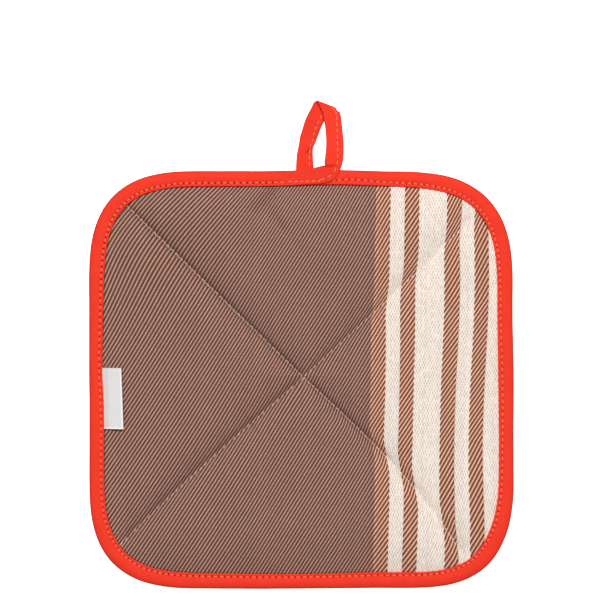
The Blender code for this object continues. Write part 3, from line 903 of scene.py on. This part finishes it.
EDGE_STITCHES = 240
STATIONS_PER_STITCH = 4
BINDING_DRAWN_WIDTH = 7.0
EDGE_SHAPE = (
    # degrees round from +X, edge outside the even outline, tape's width, stitches from its lip,
    # how dark the painted shade in the needle holes is
    (0.0, 0.72, 7.45, 1.95, 0.35),
    (18.0, 0.05, 7.15, 1.25, 0.35),
    (37.0, 0.55, 7.8, 1.3, 0.45),
    (60.0, -0.2, 7.65, 1.7, 0.5),
    (67.0, -0.35, 7.0, 1.7, 0.5),
    (80.0, 0.5, 7.0, 1.75, 0.6),
    (100.0, -0.12, 7.3, 1.6, 0.75),
    (118.0, -0.05, 7.45, 1.6, 0.7),
    (138.0, -0.2, 7.8, 1.4, 0.85),
    (148.0, 0.1, 7.7, 1.4, 0.8),
    (160.0, 0.05, 6.85, 1.4, 0.65),
    (177.0, 0.05, 6.25, 1.55, 0.5),
    (188.0, -0.15, 7.05, 1.5, 0.35),
    (208.0, -0.05, 7.15, 1.5, 0.45),
    (222.0, 0.05, 8.05, 1.5, 0.65),
    (240.0, 0.35, 7.6, 1.55, 0.7),
    (258.0, 0.6, 7.2, 1.6, 0.65),
    (270.0, 0.42, 7.0, 1.5, 0.5),
    (292.0, 0.1, 7.65, 1.6, 0.5),
    (306.0, 0.4, 7.6, 1.4, 0.6),
    (313.0, 0.85, 8.1, 1.25, 0.65),
    (319.0, 0.15, 8.4, 1.25, 0.6),
    (333.0, 0.75, 7.3, 1.45, 0.45),
    (345.0, 0.5, 6.85, 1.6, 0.35),
    (360.0, 0.72, 7.45, 1.95, 0.35),
)
EDGE_SMOOTHING = (-3.0, 0.0, 3.0)  # degrees
BINDING_SECTION = (  # (inset, height) from the lip on top round the edge to the lip underneath
    (6.75, 4.75), (7.0, 4.95), (6.92, 5.32), (6.35, 5.48), (5.7, 5.3), (4.8, 5.5), (3.2, 5.68),
    (1.9, 5.45), (0.75, 4.95), (0.12, 4.3), (0.0, 3.6), (0.12, 2.95), (0.75, 2.4), (1.9, 1.95),
    (3.2, 1.72), (4.8, 1.82), (5.7, 2.0), (6.35, 1.87), (6.92, 1.98), (7.0, 2.2), (6.75, 2.45),
)
BINDING_LINING = ((3.4, 2.5), (1.9, 2.8), (1.2, 3.6), (1.9, 4.4), (3.4, 4.7))
SECTION_STEPS = 2
LIP_SIDES = (5.6, 6.9)  # inset where the lip begins, and where it is fully the lip
LIP_SCALLOP = 0.08
ROLL_HEIGHT, ROLL_SIZE = 0.14, 9.0
SWAY, SWAY_SIZE = 0.1, 14.0
BINDING_ROW = (0.5, 0.12, 0.25)  # half width of the stitches' groove, its depth, and more at the holes
# Painted shade where the tape rolls round the outer edge, and how far in it reaches
OUTER_EDGE_SHADE, OUTER_EDGE_REACH = 0.5, 0.4
LOCK_LEAD, LOCK_LEAD_X, LOCK_LEAD_REACH = 0.7, 24.0, 10.0
HOLE_REACH = 0.55


def edge_shape(x, y):
    """The columns of EDGE_SHAPE at each point."""
    around = np.degrees(np.arctan2(y, x))
    degrees, *columns = np.array(EDGE_SHAPE).T
    return [sum(np.interp((around + turn) % 360.0, degrees, column) for turn in EDGE_SMOOTHING)
            / len(EDGE_SMOOTHING) for column in columns]


def edge_frames(count):
    """Points at even steps along the outline, with the direction along it and inwards."""
    edge, length = outline_points(count)
    ahead = np.roll(edge, -1, 0) - np.roll(edge, 1, 0)
    along = ahead / np.linalg.norm(ahead, axis=1)[:, None]
    inward = np.stack([-along[:, 1], along[:, 0]], 1)
    drift = edge_shape(edge[:, 0], edge[:, 1])[0]
    return edge - inward * drift[:, None], along, inward, length


def lip_line():
    """Points along the inner edge of the binding."""
    edge, _, inward, _ = edge_frames(OUTLINE_SAMPLES)
    return edge + inward * edge_shape(edge[:, 0], edge[:, 1])[1][:, None]


def row_inset(edge, width, from_lip):
    """How far in from the edge the stitches run; farther out right of the loop's foot."""
    lead = LOCK_LEAD * bell(edge[:, 0] - LOCK_LEAD_X, LOCK_LEAD_REACH) * (edge[:, 1] > 0.0)
    return width - from_lip - lead


def stitch_groove(aside, turn, half_width, depth, hole_depth):
    """How deep a row of stitches is drawn into the tape."""
    return bell(aside, half_width) * (depth + hole_depth * bell(from_hole(turn), HOLE_REACH))


def binding_ring(inset, height, way, turn, stitched):
    """Insets and heights all round the pad of one point of the tape's outer side."""
    sign = 1.0 if height > PAD_EDGE_MIDDLE else -1.0
    lip = smooth_step(np.float64(inset), *LIP_SIDES)
    insets = inset + lip * LIP_SCALLOP * np.cos(math.tau * turn)
    insets += SWAY * wander(way, np.full(way.shape, 0.5 * height), SWAY_SIZE, 31.0) * (1.0 - lip)
    lane = 3.0 * inset + 40.0 * (sign > 0.0)
    roll = ROLL_HEIGHT * wander(way, np.full(way.shape, lane), ROLL_SIZE, 21.0, 2)
    roll *= smooth_step(np.float64(inset), 0.0, 2.0) * (1.0 - bell(inset - stitched, BINDING_ROW[0]))
    scallop = LIP_SCALLOP * lip * np.cos(math.tau * turn + 1.0)
    groove = stitch_groove(inset - stitched, turn, *BINDING_ROW)
    return insets, height + sign * (roll + scallop - groove)


def build_binding(tape):
    """Tape folded over the edge, sewn down by one row of stitches."""
    count = EDGE_STITCHES * STATIONS_PER_STITCH
    edge, _, inward, length = edge_frames(count)
    outer = smooth_route(BINDING_SECTION, SECTION_STEPS)
    section = np.vstack([outer, BINDING_LINING])
    _, width, from_lip, hole_shade = edge_shape(edge[:, 0], edge[:, 1])
    scale = width / BINDING_DRAWN_WIDTH
    stitched = row_inset(edge, width, from_lip) / scale
    turn = np.arange(count) / STATIONS_PER_STITCH
    way = length * turn / EDGE_STITCHES
    rings = [binding_ring(*row, way, turn, stitched) for row in outer]
    rings += [(np.full(count, inset), np.full(count, height)) for inset, height in BINDING_LINING]
    points = np.array([np.column_stack([edge + inward * (insets * scale)[:, None], heights])
                       for insets, heights in rings])
    from_row = section[:, :1] - stitched
    from_row[len(outer):] = BINDING_DRAWN_WIDTH
    # painted shade on the rolled outer edge
    outer_shade = OUTER_EDGE_SHADE * bell(section[:, :1], OUTER_EDGE_REACH)
    faces = grid_faces(len(section), count, close_rows=True)
    piece = make_piece("edge_binding", points, faces[:, ::-1].tolist(), [tape],
                       {"cloth": triples(way, way_along(section)[:, None], outer_shade),
                        "seam": triples(turn, from_row, hole_shade)})
    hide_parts("binding")


# ---------------------------------------------------------------- hanging loop

TAPE_HALF_THICKNESS = 0.65
STATIONS_BETWEEN = 8
# The two edges of the loop's tape, read off the photograph. Rows are (column and row of the
# first edge, its height, column and row of the sewn edge, its height, stitches' distance from it)
LOOP_FRONT = (
    (255.0, 171.6, 4.7, 255.0, 186.0, 4.2, 1.7),
    (275.0, 171.3, 5.0, 275.0, 186.0, 4.6, 1.7),
    (290.0, 170.6, 5.8, 290.0, 185.6, 5.3, 1.7),
    (300.0, 169.6, 6.1, 300.0, 184.9, 5.5, 1.5),
    (312.0, 168.2, 6.25, 312.5, 184.2, 5.6, 1.5),
    (320.0, 166.2, 6.35, 323.0, 183.4, 5.65, 2.0),
    (323.2, 165.4, 6.4, 331.0, 181.3, 5.6, 2.4),
    (324.3, 165.9, 6.4, 335.5, 177.4, 5.6, 2.3),
    (324.7, 165.6, 6.4, 338.8, 172.6, 5.7, 2.3),
    (324.9, 164.5, 6.5, 340.8, 168.3, 5.8, 2.4),
    (324.4, 161.7, 6.4, 342.6, 162.8, 6.1, 2.5),
    (325.2, 156.0, 6.2, 343.5, 156.5, 5.9, 2.8),
    (326.2, 144.0, 5.7, 343.7, 143.5, 5.3, 2.9),
    (325.8, 133.0, 5.3, 342.8, 132.5, 4.7, 2.7),
    (325.0, 125.0, 5.0, 341.8, 124.0, 4.2, 2.4),
    (323.2, 116.2, 4.6, 341.0, 117.0, 3.5, 2.1),
    (321.7, 110.3, 4.2, 339.7, 112.4, 2.8, 2.1),
)
LOOP_BACK = (
    (311.2, 108.0, 2.3, 328.0, 115.5, 1.7, 2.3),
    (307.8, 114.2, 1.8, 324.4, 121.1, 2.2, 2.3),
    (305.0, 120.4, 1.3, 321.6, 126.3, 1.9, 2.2),
    (302.2, 129.4, 0.9, 318.3, 135.0, 1.2, 2.1),
    (300.1, 136.1, 0.8, 316.2, 141.2, 0.8, 1.7),
    (298.9, 143.5, 0.8, 313.7, 146.3, 0.8, 1.5),
    (297.7, 149.5, 0.8, 312.9, 150.2, 0.8, 1.4),
    (296.7, 155.0, 0.8, 312.9, 155.0, 0.8, 1.7),
    (296.4, 160.0, 0.8, 313.1, 160.0, 0.8, 1.8),
    (296.0, 166.0, 0.8, 313.6, 166.0, 0.8, 1.9),
    (295.8, 180.0, 0.8, 313.9, 180.0, 0.8, 1.9),
)
LOOP_FOLD = (  # (column, row, height, radius, drift) of the middle of each edge's turn
    (315.9, 103.3, 3.2, 0.85, 1.2),
    (333.9, 109.7, 1.8, 0.7, 1.6),
)
FOLD_SLOPE = math.radians(-19.0)
FOLD_STATIONS = 24
LOOP_ROW_AT_FOLD = 2.2
LOOP_FACE_POINTS = 26
LOOP_SIDE_POINTS = 7
LOOP_LIP_POINTS = 4
LOOP_FACE_SPAN = (-0.95, 0.93)  # where the flat faces begin and end, for a half width of 1
LOOP_SLIT = 0.12
LOOP_SLIT_PLACES = (-0.9, 0.0, 0.85)
LOOP_GROOVES = (  # (start column, row, end column, row, depth, reach, 1 on the back leg)
    (311.9, 146.6, 305.6, 154.2, 0.75, 0.5, 1),
    (323.0, 165.4, 330.0, 167.9, 1.0, 0.5, 0),
    (329.4, 167.9, 334.5, 165.9, 0.7, 0.4, 0),
    (313.3, 168.0, 322.4, 165.4, 0.4, 0.35, 0),
)
# Painted shade of the loop: full at this crease depth, and on the tape's sides
GROOVE_DARK_AT = 1.1
GROOVE_FACES_UP = 0.3
LOOP_SIDES_DARK = 0.15
# painted shade in the loop's needle holes
LOOP_HOLES_DARK = 0.15
LOOP_ROW = (0.45, 0.14, 0.18)  # half width of the stitches' groove, its depth, and more at the holes
LOOP_SWELL = 0.1
LOOP_ROLL_HEIGHT, LOOP_ROLL_SIZE = 0.1, 6.0
LOOP_PRESSED, LOOP_PRESSED_WAY = 0.45, (24.0, 44.0)  # the foot is pressed flat by its stitches
LOOP_LOWEST = 0.05
BACK_THREADS = 20.0  # sets the threads of the tape's two sides apart
NO_ROW = 9.0  # keeps the needle holes off the tape's edges


def loop_edges(rows):
    """The two edges of a table's tape as smooth curves, with the stitches' place."""
    points = [(*from_pixel(*row[0:3]), row[2], *from_pixel(*row[3:6]), row[5], row[6])
              for row in rows]
    route = smooth_route(points, STATIONS_BETWEEN)
    return route[:, 0:3], route[:, 3:6], route[:, 6]


def fold_edges():
    """The same where the tape rolls over backwards, wider on its first edge."""
    crease = np.array([-math.cos(FOLD_SLOPE), -math.sin(FOLD_SLOPE), 0.0])
    outward = np.array([-math.sin(FOLD_SLOPE), math.cos(FOLD_SLOPE), 0.0])
    turn = np.linspace(0.0, math.pi, FOLD_STATIONS)[:, None]
    edges = []
    for column, row, height, radius, drift in LOOP_FOLD:
        centre = np.array([*from_pixel(column, row, height), height])
        slide = drift * (turn / QUARTER_TURN - 1.0)
        edges.append(centre + (outward * np.sin(turn) + UP * np.cos(turn)) * radius + crease * slide)
    return *edges, np.full(FOLD_STATIONS, LOOP_ROW_AT_FOLD)


def loop_stations():
    """Stations of the whole loop: middle, across, face, width, way along, stitches' place."""
    parts = zip(loop_edges(LOOP_FRONT), fold_edges(), loop_edges(LOOP_BACK))
    first, sewn, from_edge = [np.concatenate(part) for part in parts]
    middle = (first + sewn) / 2.0
    width = np.linalg.norm(first - sewn, axis=1)
    across = (first - sewn) / width[:, None]
    way = way_along(middle)
    face = np.cross(np.gradient(middle, way, axis=0), across)
    face /= np.linalg.norm(face, axis=1)[:, None]
    return middle, across, face, width, way, from_edge - width / 2.0


def loop_grooves(points, face, side):
    """Depth of the creases pressed into the side of the tape that looks up."""
    depth = np.zeros(points.shape[:2])
    facing = face[:, None, 2]
    for *ends, deep, reach, back in LOOP_GROOVES:
        share, aside, _ = by_streak(points[:, :, 0], points[:, :, 1], ends)
        here = smooth_step(share, -0.25, 0.05) * (1.0 - smooth_step(share, 0.55, 1.1))
        on_leg = (facing * side > GROOVE_FACES_UP) & ((facing < 0.0) == bool(back))
        depth += deep * bell(aside, reach) * here * on_leg
    return depth


def tape_section():
    """Section of the tape folded shut, for a half width and half thickness of 1.

    Rows are (place across, height, side of the tape, 1 on its outer face). The fold is at the
    positive end and the open edge, which the stitches hold shut, at the negative end.
    """
    start, end = LOOP_FACE_SPAN
    across = np.linspace(start, end, LOOP_FACE_POINTS)
    bend = np.linspace(QUARTER_TURN, -QUARTER_TURN, LOOP_SIDE_POINTS + 2)[1:-1]
    layer = (1.0 + LOOP_SLIT) / 2.0
    lip = [(start - (1.0 + start) * math.cos(QUARTER_TURN * share), (1.0 - LOOP_SLIT) / 2.0 * share)
           for share in np.linspace(-0.9, 0.9, LOOP_LIP_POINTS)]
    rows = [(place, 1.0, 1.0, 1.0) for place in across]
    rows += [(end + (1.0 - end) * math.cos(turn), math.sin(turn), 0.0, 0.0) for turn in bend]
    rows += [(place, -1.0, -1.0, 1.0) for place in across[::-1]]
    rows += [(place, height - layer, 0.0, 0.0) for place, height in lip]
    rows += [(place, -LOOP_SLIT, 0.0, 0.0) for place in LOOP_SLIT_PLACES]
    rows += [(place, LOOP_SLIT, 0.0, 0.0) for place in LOOP_SLIT_PLACES[::-1]]
    rows += [(place, height + layer, 0.0, 0.0) for place, height in lip]
    return np.array(rows)


def build_loop(tape):
    """The tape's tail: on the binding, up, over backwards and down behind."""
    middle, across, face, width, way, row = loop_stations()
    section = tape_section()
    side = section[None, :, 2]
    place = section[None, :, 0] * width[:, None] / 2.0
    turn = (way / STITCH_PITCH)[:, None]
    beside = place - row[:, None]
    swell = section[None, :, 3] * (1.0 - np.abs(section[None, :, 0]) ** 4)
    roll = wander(np.repeat(way[:, None], len(section), 1), 1.2 * place + 50.0 * side,
                  LOOP_ROLL_SIZE, 41.0, 2)
    uneven = LOOP_SWELL * swell + LOOP_ROLL_HEIGHT * roll - stitch_groove(beside, turn, *LOOP_ROW)
    height = section[None, :, 1] * TAPE_HALF_THICKNESS + side * uneven
    height *= 1.0 - LOOP_PRESSED * (1.0 - smooth_step(way, *LOOP_PRESSED_WAY))[:, None]
    points = (middle[:, None, :] + across[:, None, :] * place[:, :, None]
              + face[:, None, :] * height[:, :, None])
    creases = loop_grooves(points, face, side)
    points[:, :, 2] = np.maximum(points[:, :, 2] - creases, LOOP_LOWEST)
    edges = 1.0 - np.abs(side)
    # painted shade in the pressed creases and on the tape's sides
    dark = np.clip(creases / GROOVE_DARK_AT, 0.0, 1.0) + LOOP_SIDES_DARK * edges
    piece = make_piece("loop_tape", points, tube_faces(*points.shape[:2]), [tape],
                       {"cloth": triples(way[:, None], place + BACK_THREADS * side, dark),
                        "seam": triples(turn, beside + NO_ROW * edges, LOOP_HOLES_DARK)})
    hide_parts("hanging_loop")


# ---------------------------------------------------------------- label

LABEL_ROOT_X = -94.6
LABEL_FOLD_X_TOP = -84.85
LABEL_FOLD_X_BOTTOM = -83.8
LABEL_TOP_Y = 5.45
LABEL_BOTTOM_Y = -23.3
LABEL_LAYER = 0.4
LABEL_GAP = 0.5
LABEL_LIFT = 0.6  # the folded edge stands off the pad
LABEL_CLEARANCE = 0.35
LABEL_SQUEEZE = 0.3  # its thickness at the root, where the tape holds it down
# how far right of the fold the label's painted shadow line lies
LABEL_EDGE_OUT = 0.6
LABEL_ROWS = 90
LABEL_COLUMNS = 24
LABEL_FOLD_STEPS = 10
LABEL_SQUEEZED_WAY = (0.1, 0.45)
LABEL_WAVE = 0.08
# how far below the label's end its painted shadow line lies
LABEL_DARK_OUT = 0.1
LABEL_MM = 8.0  # from its root to its fold, in the cloth's millimetres


def label_line():
    """Points just outside the label's folded edge and its near end, along which the cloth gets a
    painted shadow.
    """
    share = np.linspace(0.0, 1.0, LABEL_ROWS)
    side_x = LABEL_FOLD_X_TOP + (LABEL_FOLD_X_BOTTOM - LABEL_FOLD_X_TOP) * share + LABEL_EDGE_OUT
    side_y = LABEL_TOP_Y + (LABEL_BOTTOM_Y - LABEL_TOP_Y) * share
    end_x = LABEL_ROOT_X + (side_x[-1] - LABEL_ROOT_X) * share
    end_y = np.full(LABEL_ROWS, LABEL_BOTTOM_Y - LABEL_DARK_OUT)
    return np.vstack([np.stack([side_x, side_y], 1), np.stack([end_x, end_y], 1)])


def label_face(half):
    """Outer or inner face of the folded ribbon, a half opening from its middle height.

    Rows are (way from the root to the fold, height, way out round the fold).
    """
    middle = LABEL_LAYER + LABEL_GAP / 2.0
    straight = np.linspace(0.0, 1.0, LABEL_COLUMNS)
    turns = np.linspace(-QUARTER_TURN, QUARTER_TURN, LABEL_FOLD_STEPS + 2)[1:-1]
    rows = [(way, middle - half, 0.0) for way in straight]
    rows += [(1.0, middle + half * math.sin(turn), half * math.cos(turn)) for turn in turns]
    rows += [(way, middle + half, 0.0) for way in straight[::-1]]
    return np.array(rows)


def build_label(ribbon):
    """A short ribbon folded double, its ends under the binding and its fold to the right."""
    outside = label_face(LABEL_LAYER + LABEL_GAP / 2.0)
    section = np.vstack([outside, label_face(LABEL_GAP / 2.0)[::-1]])
    way, height, out = section.T
    share = np.linspace(0.0, 1.0, LABEL_ROWS)[:, None]
    fold_x = LABEL_FOLD_X_TOP + (LABEL_FOLD_X_BOTTOM - LABEL_FOLD_X_TOP) * share
    x = LABEL_ROOT_X + (fold_x - LABEL_ROOT_X) * way
    y = np.broadcast_to(LABEL_TOP_Y + (LABEL_BOTTOM_Y - LABEL_TOP_Y) * share, x.shape)
    squeezed = LABEL_SQUEEZE + (1.0 - LABEL_SQUEEZE) * smooth_step(way, *LABEL_SQUEEZED_WAY)
    lift = (LABEL_LIFT + LABEL_WAVE * np.sin(9.0 * share + 1.0)) * way ** 2
    z = pad_heights(x, y, finer=False)[0] + (LABEL_CLEARANCE + height) * squeezed + lift
    count = len(section)
    faces = grid_faces(LABEL_ROWS, count)[:, ::-1].tolist()
    for first, order in ((0, -1), ((LABEL_ROWS - 1) * count, 1)):
        for index in range(len(outside) - 1):
            opposite = count - 1 - index
            faces.append([first + index, first + index + 1,
                          first + opposite - 1, first + opposite][::order])
    piece = make_piece("label_ribbon", np.stack([x + out, y, z], 2), faces, [ribbon],
                       {"cloth": triples(LABEL_MM * way + out, y, share)})
    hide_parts("side_label")


# ---------------------------------------------------------------- stitches

LOWEST = 0.02
STITCH_SIDES = 8
STITCH_RINGS = 11
RING_SHARES = np.linspace(-1.0, 1.0, STITCH_RINGS)
THREAD_FLATNESS = 0.5
PALE_SIDES = (34.0, 44.0)
EDGE_STITCH_LENGTH, EDGE_THREAD_RADIUS = 2.15, 0.4
EDGE_ROW_TOP, EDGE_ROW_BOTTOM = 5.42, 1.86
LOOP_STITCH_LENGTH, LOOP_THREAD_RADIUS = 2.65, 0.24
LOOP_ROW_FRONT, LOOP_ROW_BACK = 31.0, 46.0  # where the rows start, along the tape
LOOP_ROW_SHORT = 6.0
LOCK_STITCH_LENGTH, LOCK_THREAD_RADIUS = 2.35, 0.34
LOCK_START = (287.0, 182.0)
LOCK_END = (331.0, 180.4)
LOCK_HEIGHT = 6.1
LOCK_STITCHES = 7.5
LOCK_SLANT = 0.18
QUILTING_RADIUS = 0.155
QUILTING_ABOVE = 0.06
QUILTING_END = 8.0  # from the outline
# Courses of one quilting stitch: (way to the right along the seam, way up from it)
DASH = ((-0.95, -0.31), (-0.3, -0.1), (0.3, 0.1), (0.95, 0.31))
HOOK = ((-1.02, -0.5), (-0.85, -0.15), (-0.4, 0.12), (0.25, 0.2), (0.72, 0.03), (0.92, -0.35),
        (0.94, -0.85))
SHORT_HOOK = ((-0.95, -0.2), (-0.5, 0.02), (0.1, 0.15), (0.62, 0.08), (0.9, -0.2), (0.92, -0.6))
ARM_COURSE = (DASH, HOOK, DASH, SHORT_HOOK)


def build_stitches(name, thread, centres, ups, radius):
    """Short threads, each round its own line of centres. Centres are (stitch, ring, axis)."""
    ahead = np.gradient(centres, axis=1)
    ahead /= np.linalg.norm(ahead, axis=2)[:, :, None]
    sides = np.cross(ups[:, None, :], ahead)
    sides /= np.linalg.norm(sides, axis=2)[:, :, None]
    upward = np.cross(ahead, sides)
    girth = radius * np.clip(1.0 - np.abs(RING_SHARES) ** 4, 0.2, 1.0)
    angle = np.linspace(0.0, math.tau, STITCH_SIDES, endpoint=False)
    beside = (girth[:, None] * np.cos(angle))[None, :, :, None]
    above = (girth[:, None] * np.sin(angle))[None, :, :, None] * THREAD_FLATNESS
    rings = centres[:, :, None, :] + sides[:, :, None, :] * beside + upward[:, :, None, :] * above
    rings[..., 2] = np.maximum(rings[..., 2], LOWEST)
    faces = [[number * STITCH_RINGS * STITCH_SIDES + corner for corner in face]
             for number in range(len(rings)) for face in tube_faces(STITCH_RINGS, STITCH_SIDES)]
    way = np.array([way_along(line) for line in centres])[:, :, None]
    piece = make_piece(name, rings, faces, [thread],
                       {"thread": triples(way, angle, np.arange(len(rings))[:, None, None]),
                        "pale": triples(smooth_step(rings[..., 0], *PALE_SIDES))})


def straight_stitches(middles, directions, ups, length, radius):
    """Centres of straight stitches whose ends dive into the cloth, with their face directions."""
    directions = directions / np.linalg.norm(directions, axis=1)[:, None]
    share = RING_SHARES[None, :, None]
    centres = (middles[:, None, :] + directions[:, None, :] * share * length / 2.0
               - ups[:, None, :] * 1.2 * radius * np.abs(share) ** 3)
    return centres, ups


def edge_row(side):
    """Middles, directions and face directions of the stitches on one side of the binding."""
    edge, along, inward, _ = edge_frames(EDGE_STITCHES * 2)
    edge, along, inward = edge[1::2], along[1::2], inward[1::2]
    _, width, from_lip, _ = edge_shape(edge[:, 0], edge[:, 1])
    place = edge + inward * row_inset(edge, width, from_lip)[:, None]
    height = EDGE_ROW_TOP if side > 0 else EDGE_ROW_BOTTOM
    middles = np.column_stack([place, np.full(len(place), height)])
    directions = np.column_stack([along, np.zeros(len(place))])
    return middles, directions, np.tile(UP * side, (len(place), 1))


def stitch_course(table):
    """The course of one quilting stitch at even steps of its rings."""
    route = smooth_route(table, 6)
    share = np.linspace(-1.0, 1.0, len(route))
    return [np.interp(RING_SHARES, share, route[:, axis]) for axis in range(2)]


def quilting_rows(side):
    """Centres and face directions of the stitches along the two crossing seams."""
    centres = []
    dip = 1.3 * QUILTING_RADIUS * np.abs(RING_SHARES) ** 8
    for arm in range(ARMS):
        reach = float(reach_to_outline(CROSSING, np.array([arm_angle(arm, 1.0)]))[0])
        way = np.arange(0.5, (reach - QUILTING_END) / ARM_PITCH[arm]) * ARM_PITCH[arm]
        angle = arm_angle(arm, way / reach)
        right_x = np.abs(np.cos(angle))[:, None]
        right_y = (np.sin(angle) * np.sign(np.cos(angle)))[:, None]
        forward, lift = stitch_course(ARM_COURSE[arm])
        lift = lift - ARM_LOW[arm]
        x = CROSSING[0] + (way * np.cos(angle))[:, None] + forward * right_x - lift * right_y
        y = CROSSING[1] + (way * np.sin(angle))[:, None] + forward * right_y + lift * right_x
        top, bottom = pad_heights(x, y)
        z = top + QUILTING_ABOVE - dip if side > 0 else bottom - QUILTING_ABOVE + dip
        centres.append(np.stack([x, y, z], 2))
    centres = np.concatenate(centres)
    return centres, np.tile(UP * side, (len(centres), 1))


def loop_rows(side, start, short=0.0):
    """Middles, directions and face directions on one side of the loop's tape."""
    middle, across, face, _, way, row = loop_stations()
    first = STITCH_PITCH * (math.floor(start / STITCH_PITCH) + 0.5)
    centres = np.arange(first, way[-1] - short, STITCH_PITCH)
    line = middle + across * row[:, None] + face * side * (TAPE_HALF_THICKNESS + 0.02)
    ahead = np.gradient(line, axis=0)
    return [np.stack([np.interp(centres, way, values[:, axis]) for axis in range(3)], 1)
            for values in (line, ahead, face * side)]


def lock_row():
    """The same for the thicker stitches that hold the loop's foot, on the edge row's line."""
    start = np.array([*from_pixel(*LOCK_START, LOCK_HEIGHT), LOCK_HEIGHT])
    end = np.array([*from_pixel(*LOCK_END, LOCK_HEIGHT), LOCK_HEIGHT])
    share = np.arange(0.5, LOCK_STITCHES)[:, None] / LOCK_STITCHES
    middles = start + (end - start) * share
    slanted = end - start + np.array([0.0, LOCK_SLANT * np.linalg.norm(end - start), 0.0])
    return middles, np.tile(slanted, (len(middles), 1)), np.tile(UP, (len(middles), 1))


def build_sewing():
    """Every row of stitches, on the face and on the back."""
    edge_thread = thread_material("edge_thread", srgb(255, 106, 76), 0.12)
    lock_thread = thread_material("lock_thread", srgb(255, 134, 95), 0.08)
    quilt_thread = thread_material("quilting_thread", srgb(224, 191, 177), 0.3,
                                   srgb(232, 212, 196))
    for side, name in ((1.0, "front"), (-1.0, "back")):
        centres, ups = straight_stitches(*edge_row(side), EDGE_STITCH_LENGTH, EDGE_THREAD_RADIUS)
        build_stitches("edge_stitches_" + name, edge_thread, centres, ups,
                       EDGE_THREAD_RADIUS)
        centres, ups = quilting_rows(side)
        build_stitches("quilting_stitches_" + name, quilt_thread, centres, ups,
                       QUILTING_RADIUS)
    loop_thread = (LOOP_STITCH_LENGTH, LOOP_THREAD_RADIUS)
    loop_parts = (
        ("lock", lock_row(), LOCK_STITCH_LENGTH, LOCK_THREAD_RADIUS),
        ("front", loop_rows(1.0, LOOP_ROW_FRONT), *loop_thread),
        ("back", loop_rows(-1.0, LOOP_ROW_BACK, LOOP_ROW_SHORT), *loop_thread),
    )
    for name, row, length, radius in loop_parts:
        centres, ups = straight_stitches(*row, length, radius)
        build_stitches("loop_stitches_" + name, lock_thread, centres, ups, radius)


# ---------------------------------------------------------------- floor, light and camera

WHITE = (1.0, 1.0, 1.0, 1.0)
KEY_PLACE = (0.1, 1.36, 2.8)
KEY_SIZE = 0.9
KEY_POWER = 71.5
WORLD_STRENGTH = 0.33


def build_stage():
    """A white floor that shows almost no shadow."""
    bpy.ops.mesh.primitive_plane_add(size=6.0, location=(0.0, 0.0, -0.0002))
    floor = bpy.context.object
    floor.name = "floor"
    material = bpy.data.materials.new("white_floor")
    material.use_nodes = True
    shader = material.node_tree.nodes["Principled BSDF"]
    shader.inputs["Base Color"].default_value = (0.9, 0.9, 0.9, 1.0)
    shader.inputs["Roughness"].default_value = 1.0
    shader.inputs["Emission Color"].default_value = WHITE
    shader.inputs["Emission Strength"].default_value = 1.0
    floor.data.materials.append(material)
    floor.visible_diffuse = False
    floor.visible_glossy = False


def add_key_light():
    """One wide lamp high above the loop's side, pointed at the object."""
    light = bpy.data.lights.new("key", "AREA")
    light.shape = "DISK"
    light.size = KEY_SIZE
    light.energy = KEY_POWER
    lamp = bpy.data.objects.new("key", light)
    lamp.location = KEY_PLACE
    lamp.rotation_euler = (-Vector(KEY_PLACE)).to_track_quat("-Z", "Y").to_euler()
    bpy.context.scene.collection.objects.link(lamp)


def light_and_camera():
    """Soft light from all round, the key light, and the camera straight above."""
    scene = bpy.context.scene
    scene.view_settings.view_transform = "Standard"
    world = bpy.data.worlds.new("soft_room")
    world.use_nodes = True
    background = world.node_tree.nodes["Background"]
    background.inputs["Color"].default_value = WHITE
    background.inputs["Strength"].default_value = WORLD_STRENGTH
    scene.world = world
    add_key_light()
    camera = bpy.data.cameras.new("camera")
    camera.lens = LENS_MM
    camera.sensor_width = SENSOR_MM
    rig = bpy.data.objects.new("camera", camera)
    centre = from_pixel(*PIXEL_OF_CENTRE)
    rig.location = to_world([centre[0], centre[1], OUTLINE_HEIGHT + CAMERA_DISTANCE])
    scene.collection.objects.link(rig)
    scene.camera = rig


def build_object():
    """The four cloth pieces and their sewing."""
    tape = tape_cloth()
    build_quilted_body(face_cloth(), back_cloth())
    build_binding(tape)
    build_loop(tape)
    build_label(label_cloth())
    build_sewing()


build_object()
build_stage()
light_and_camera()
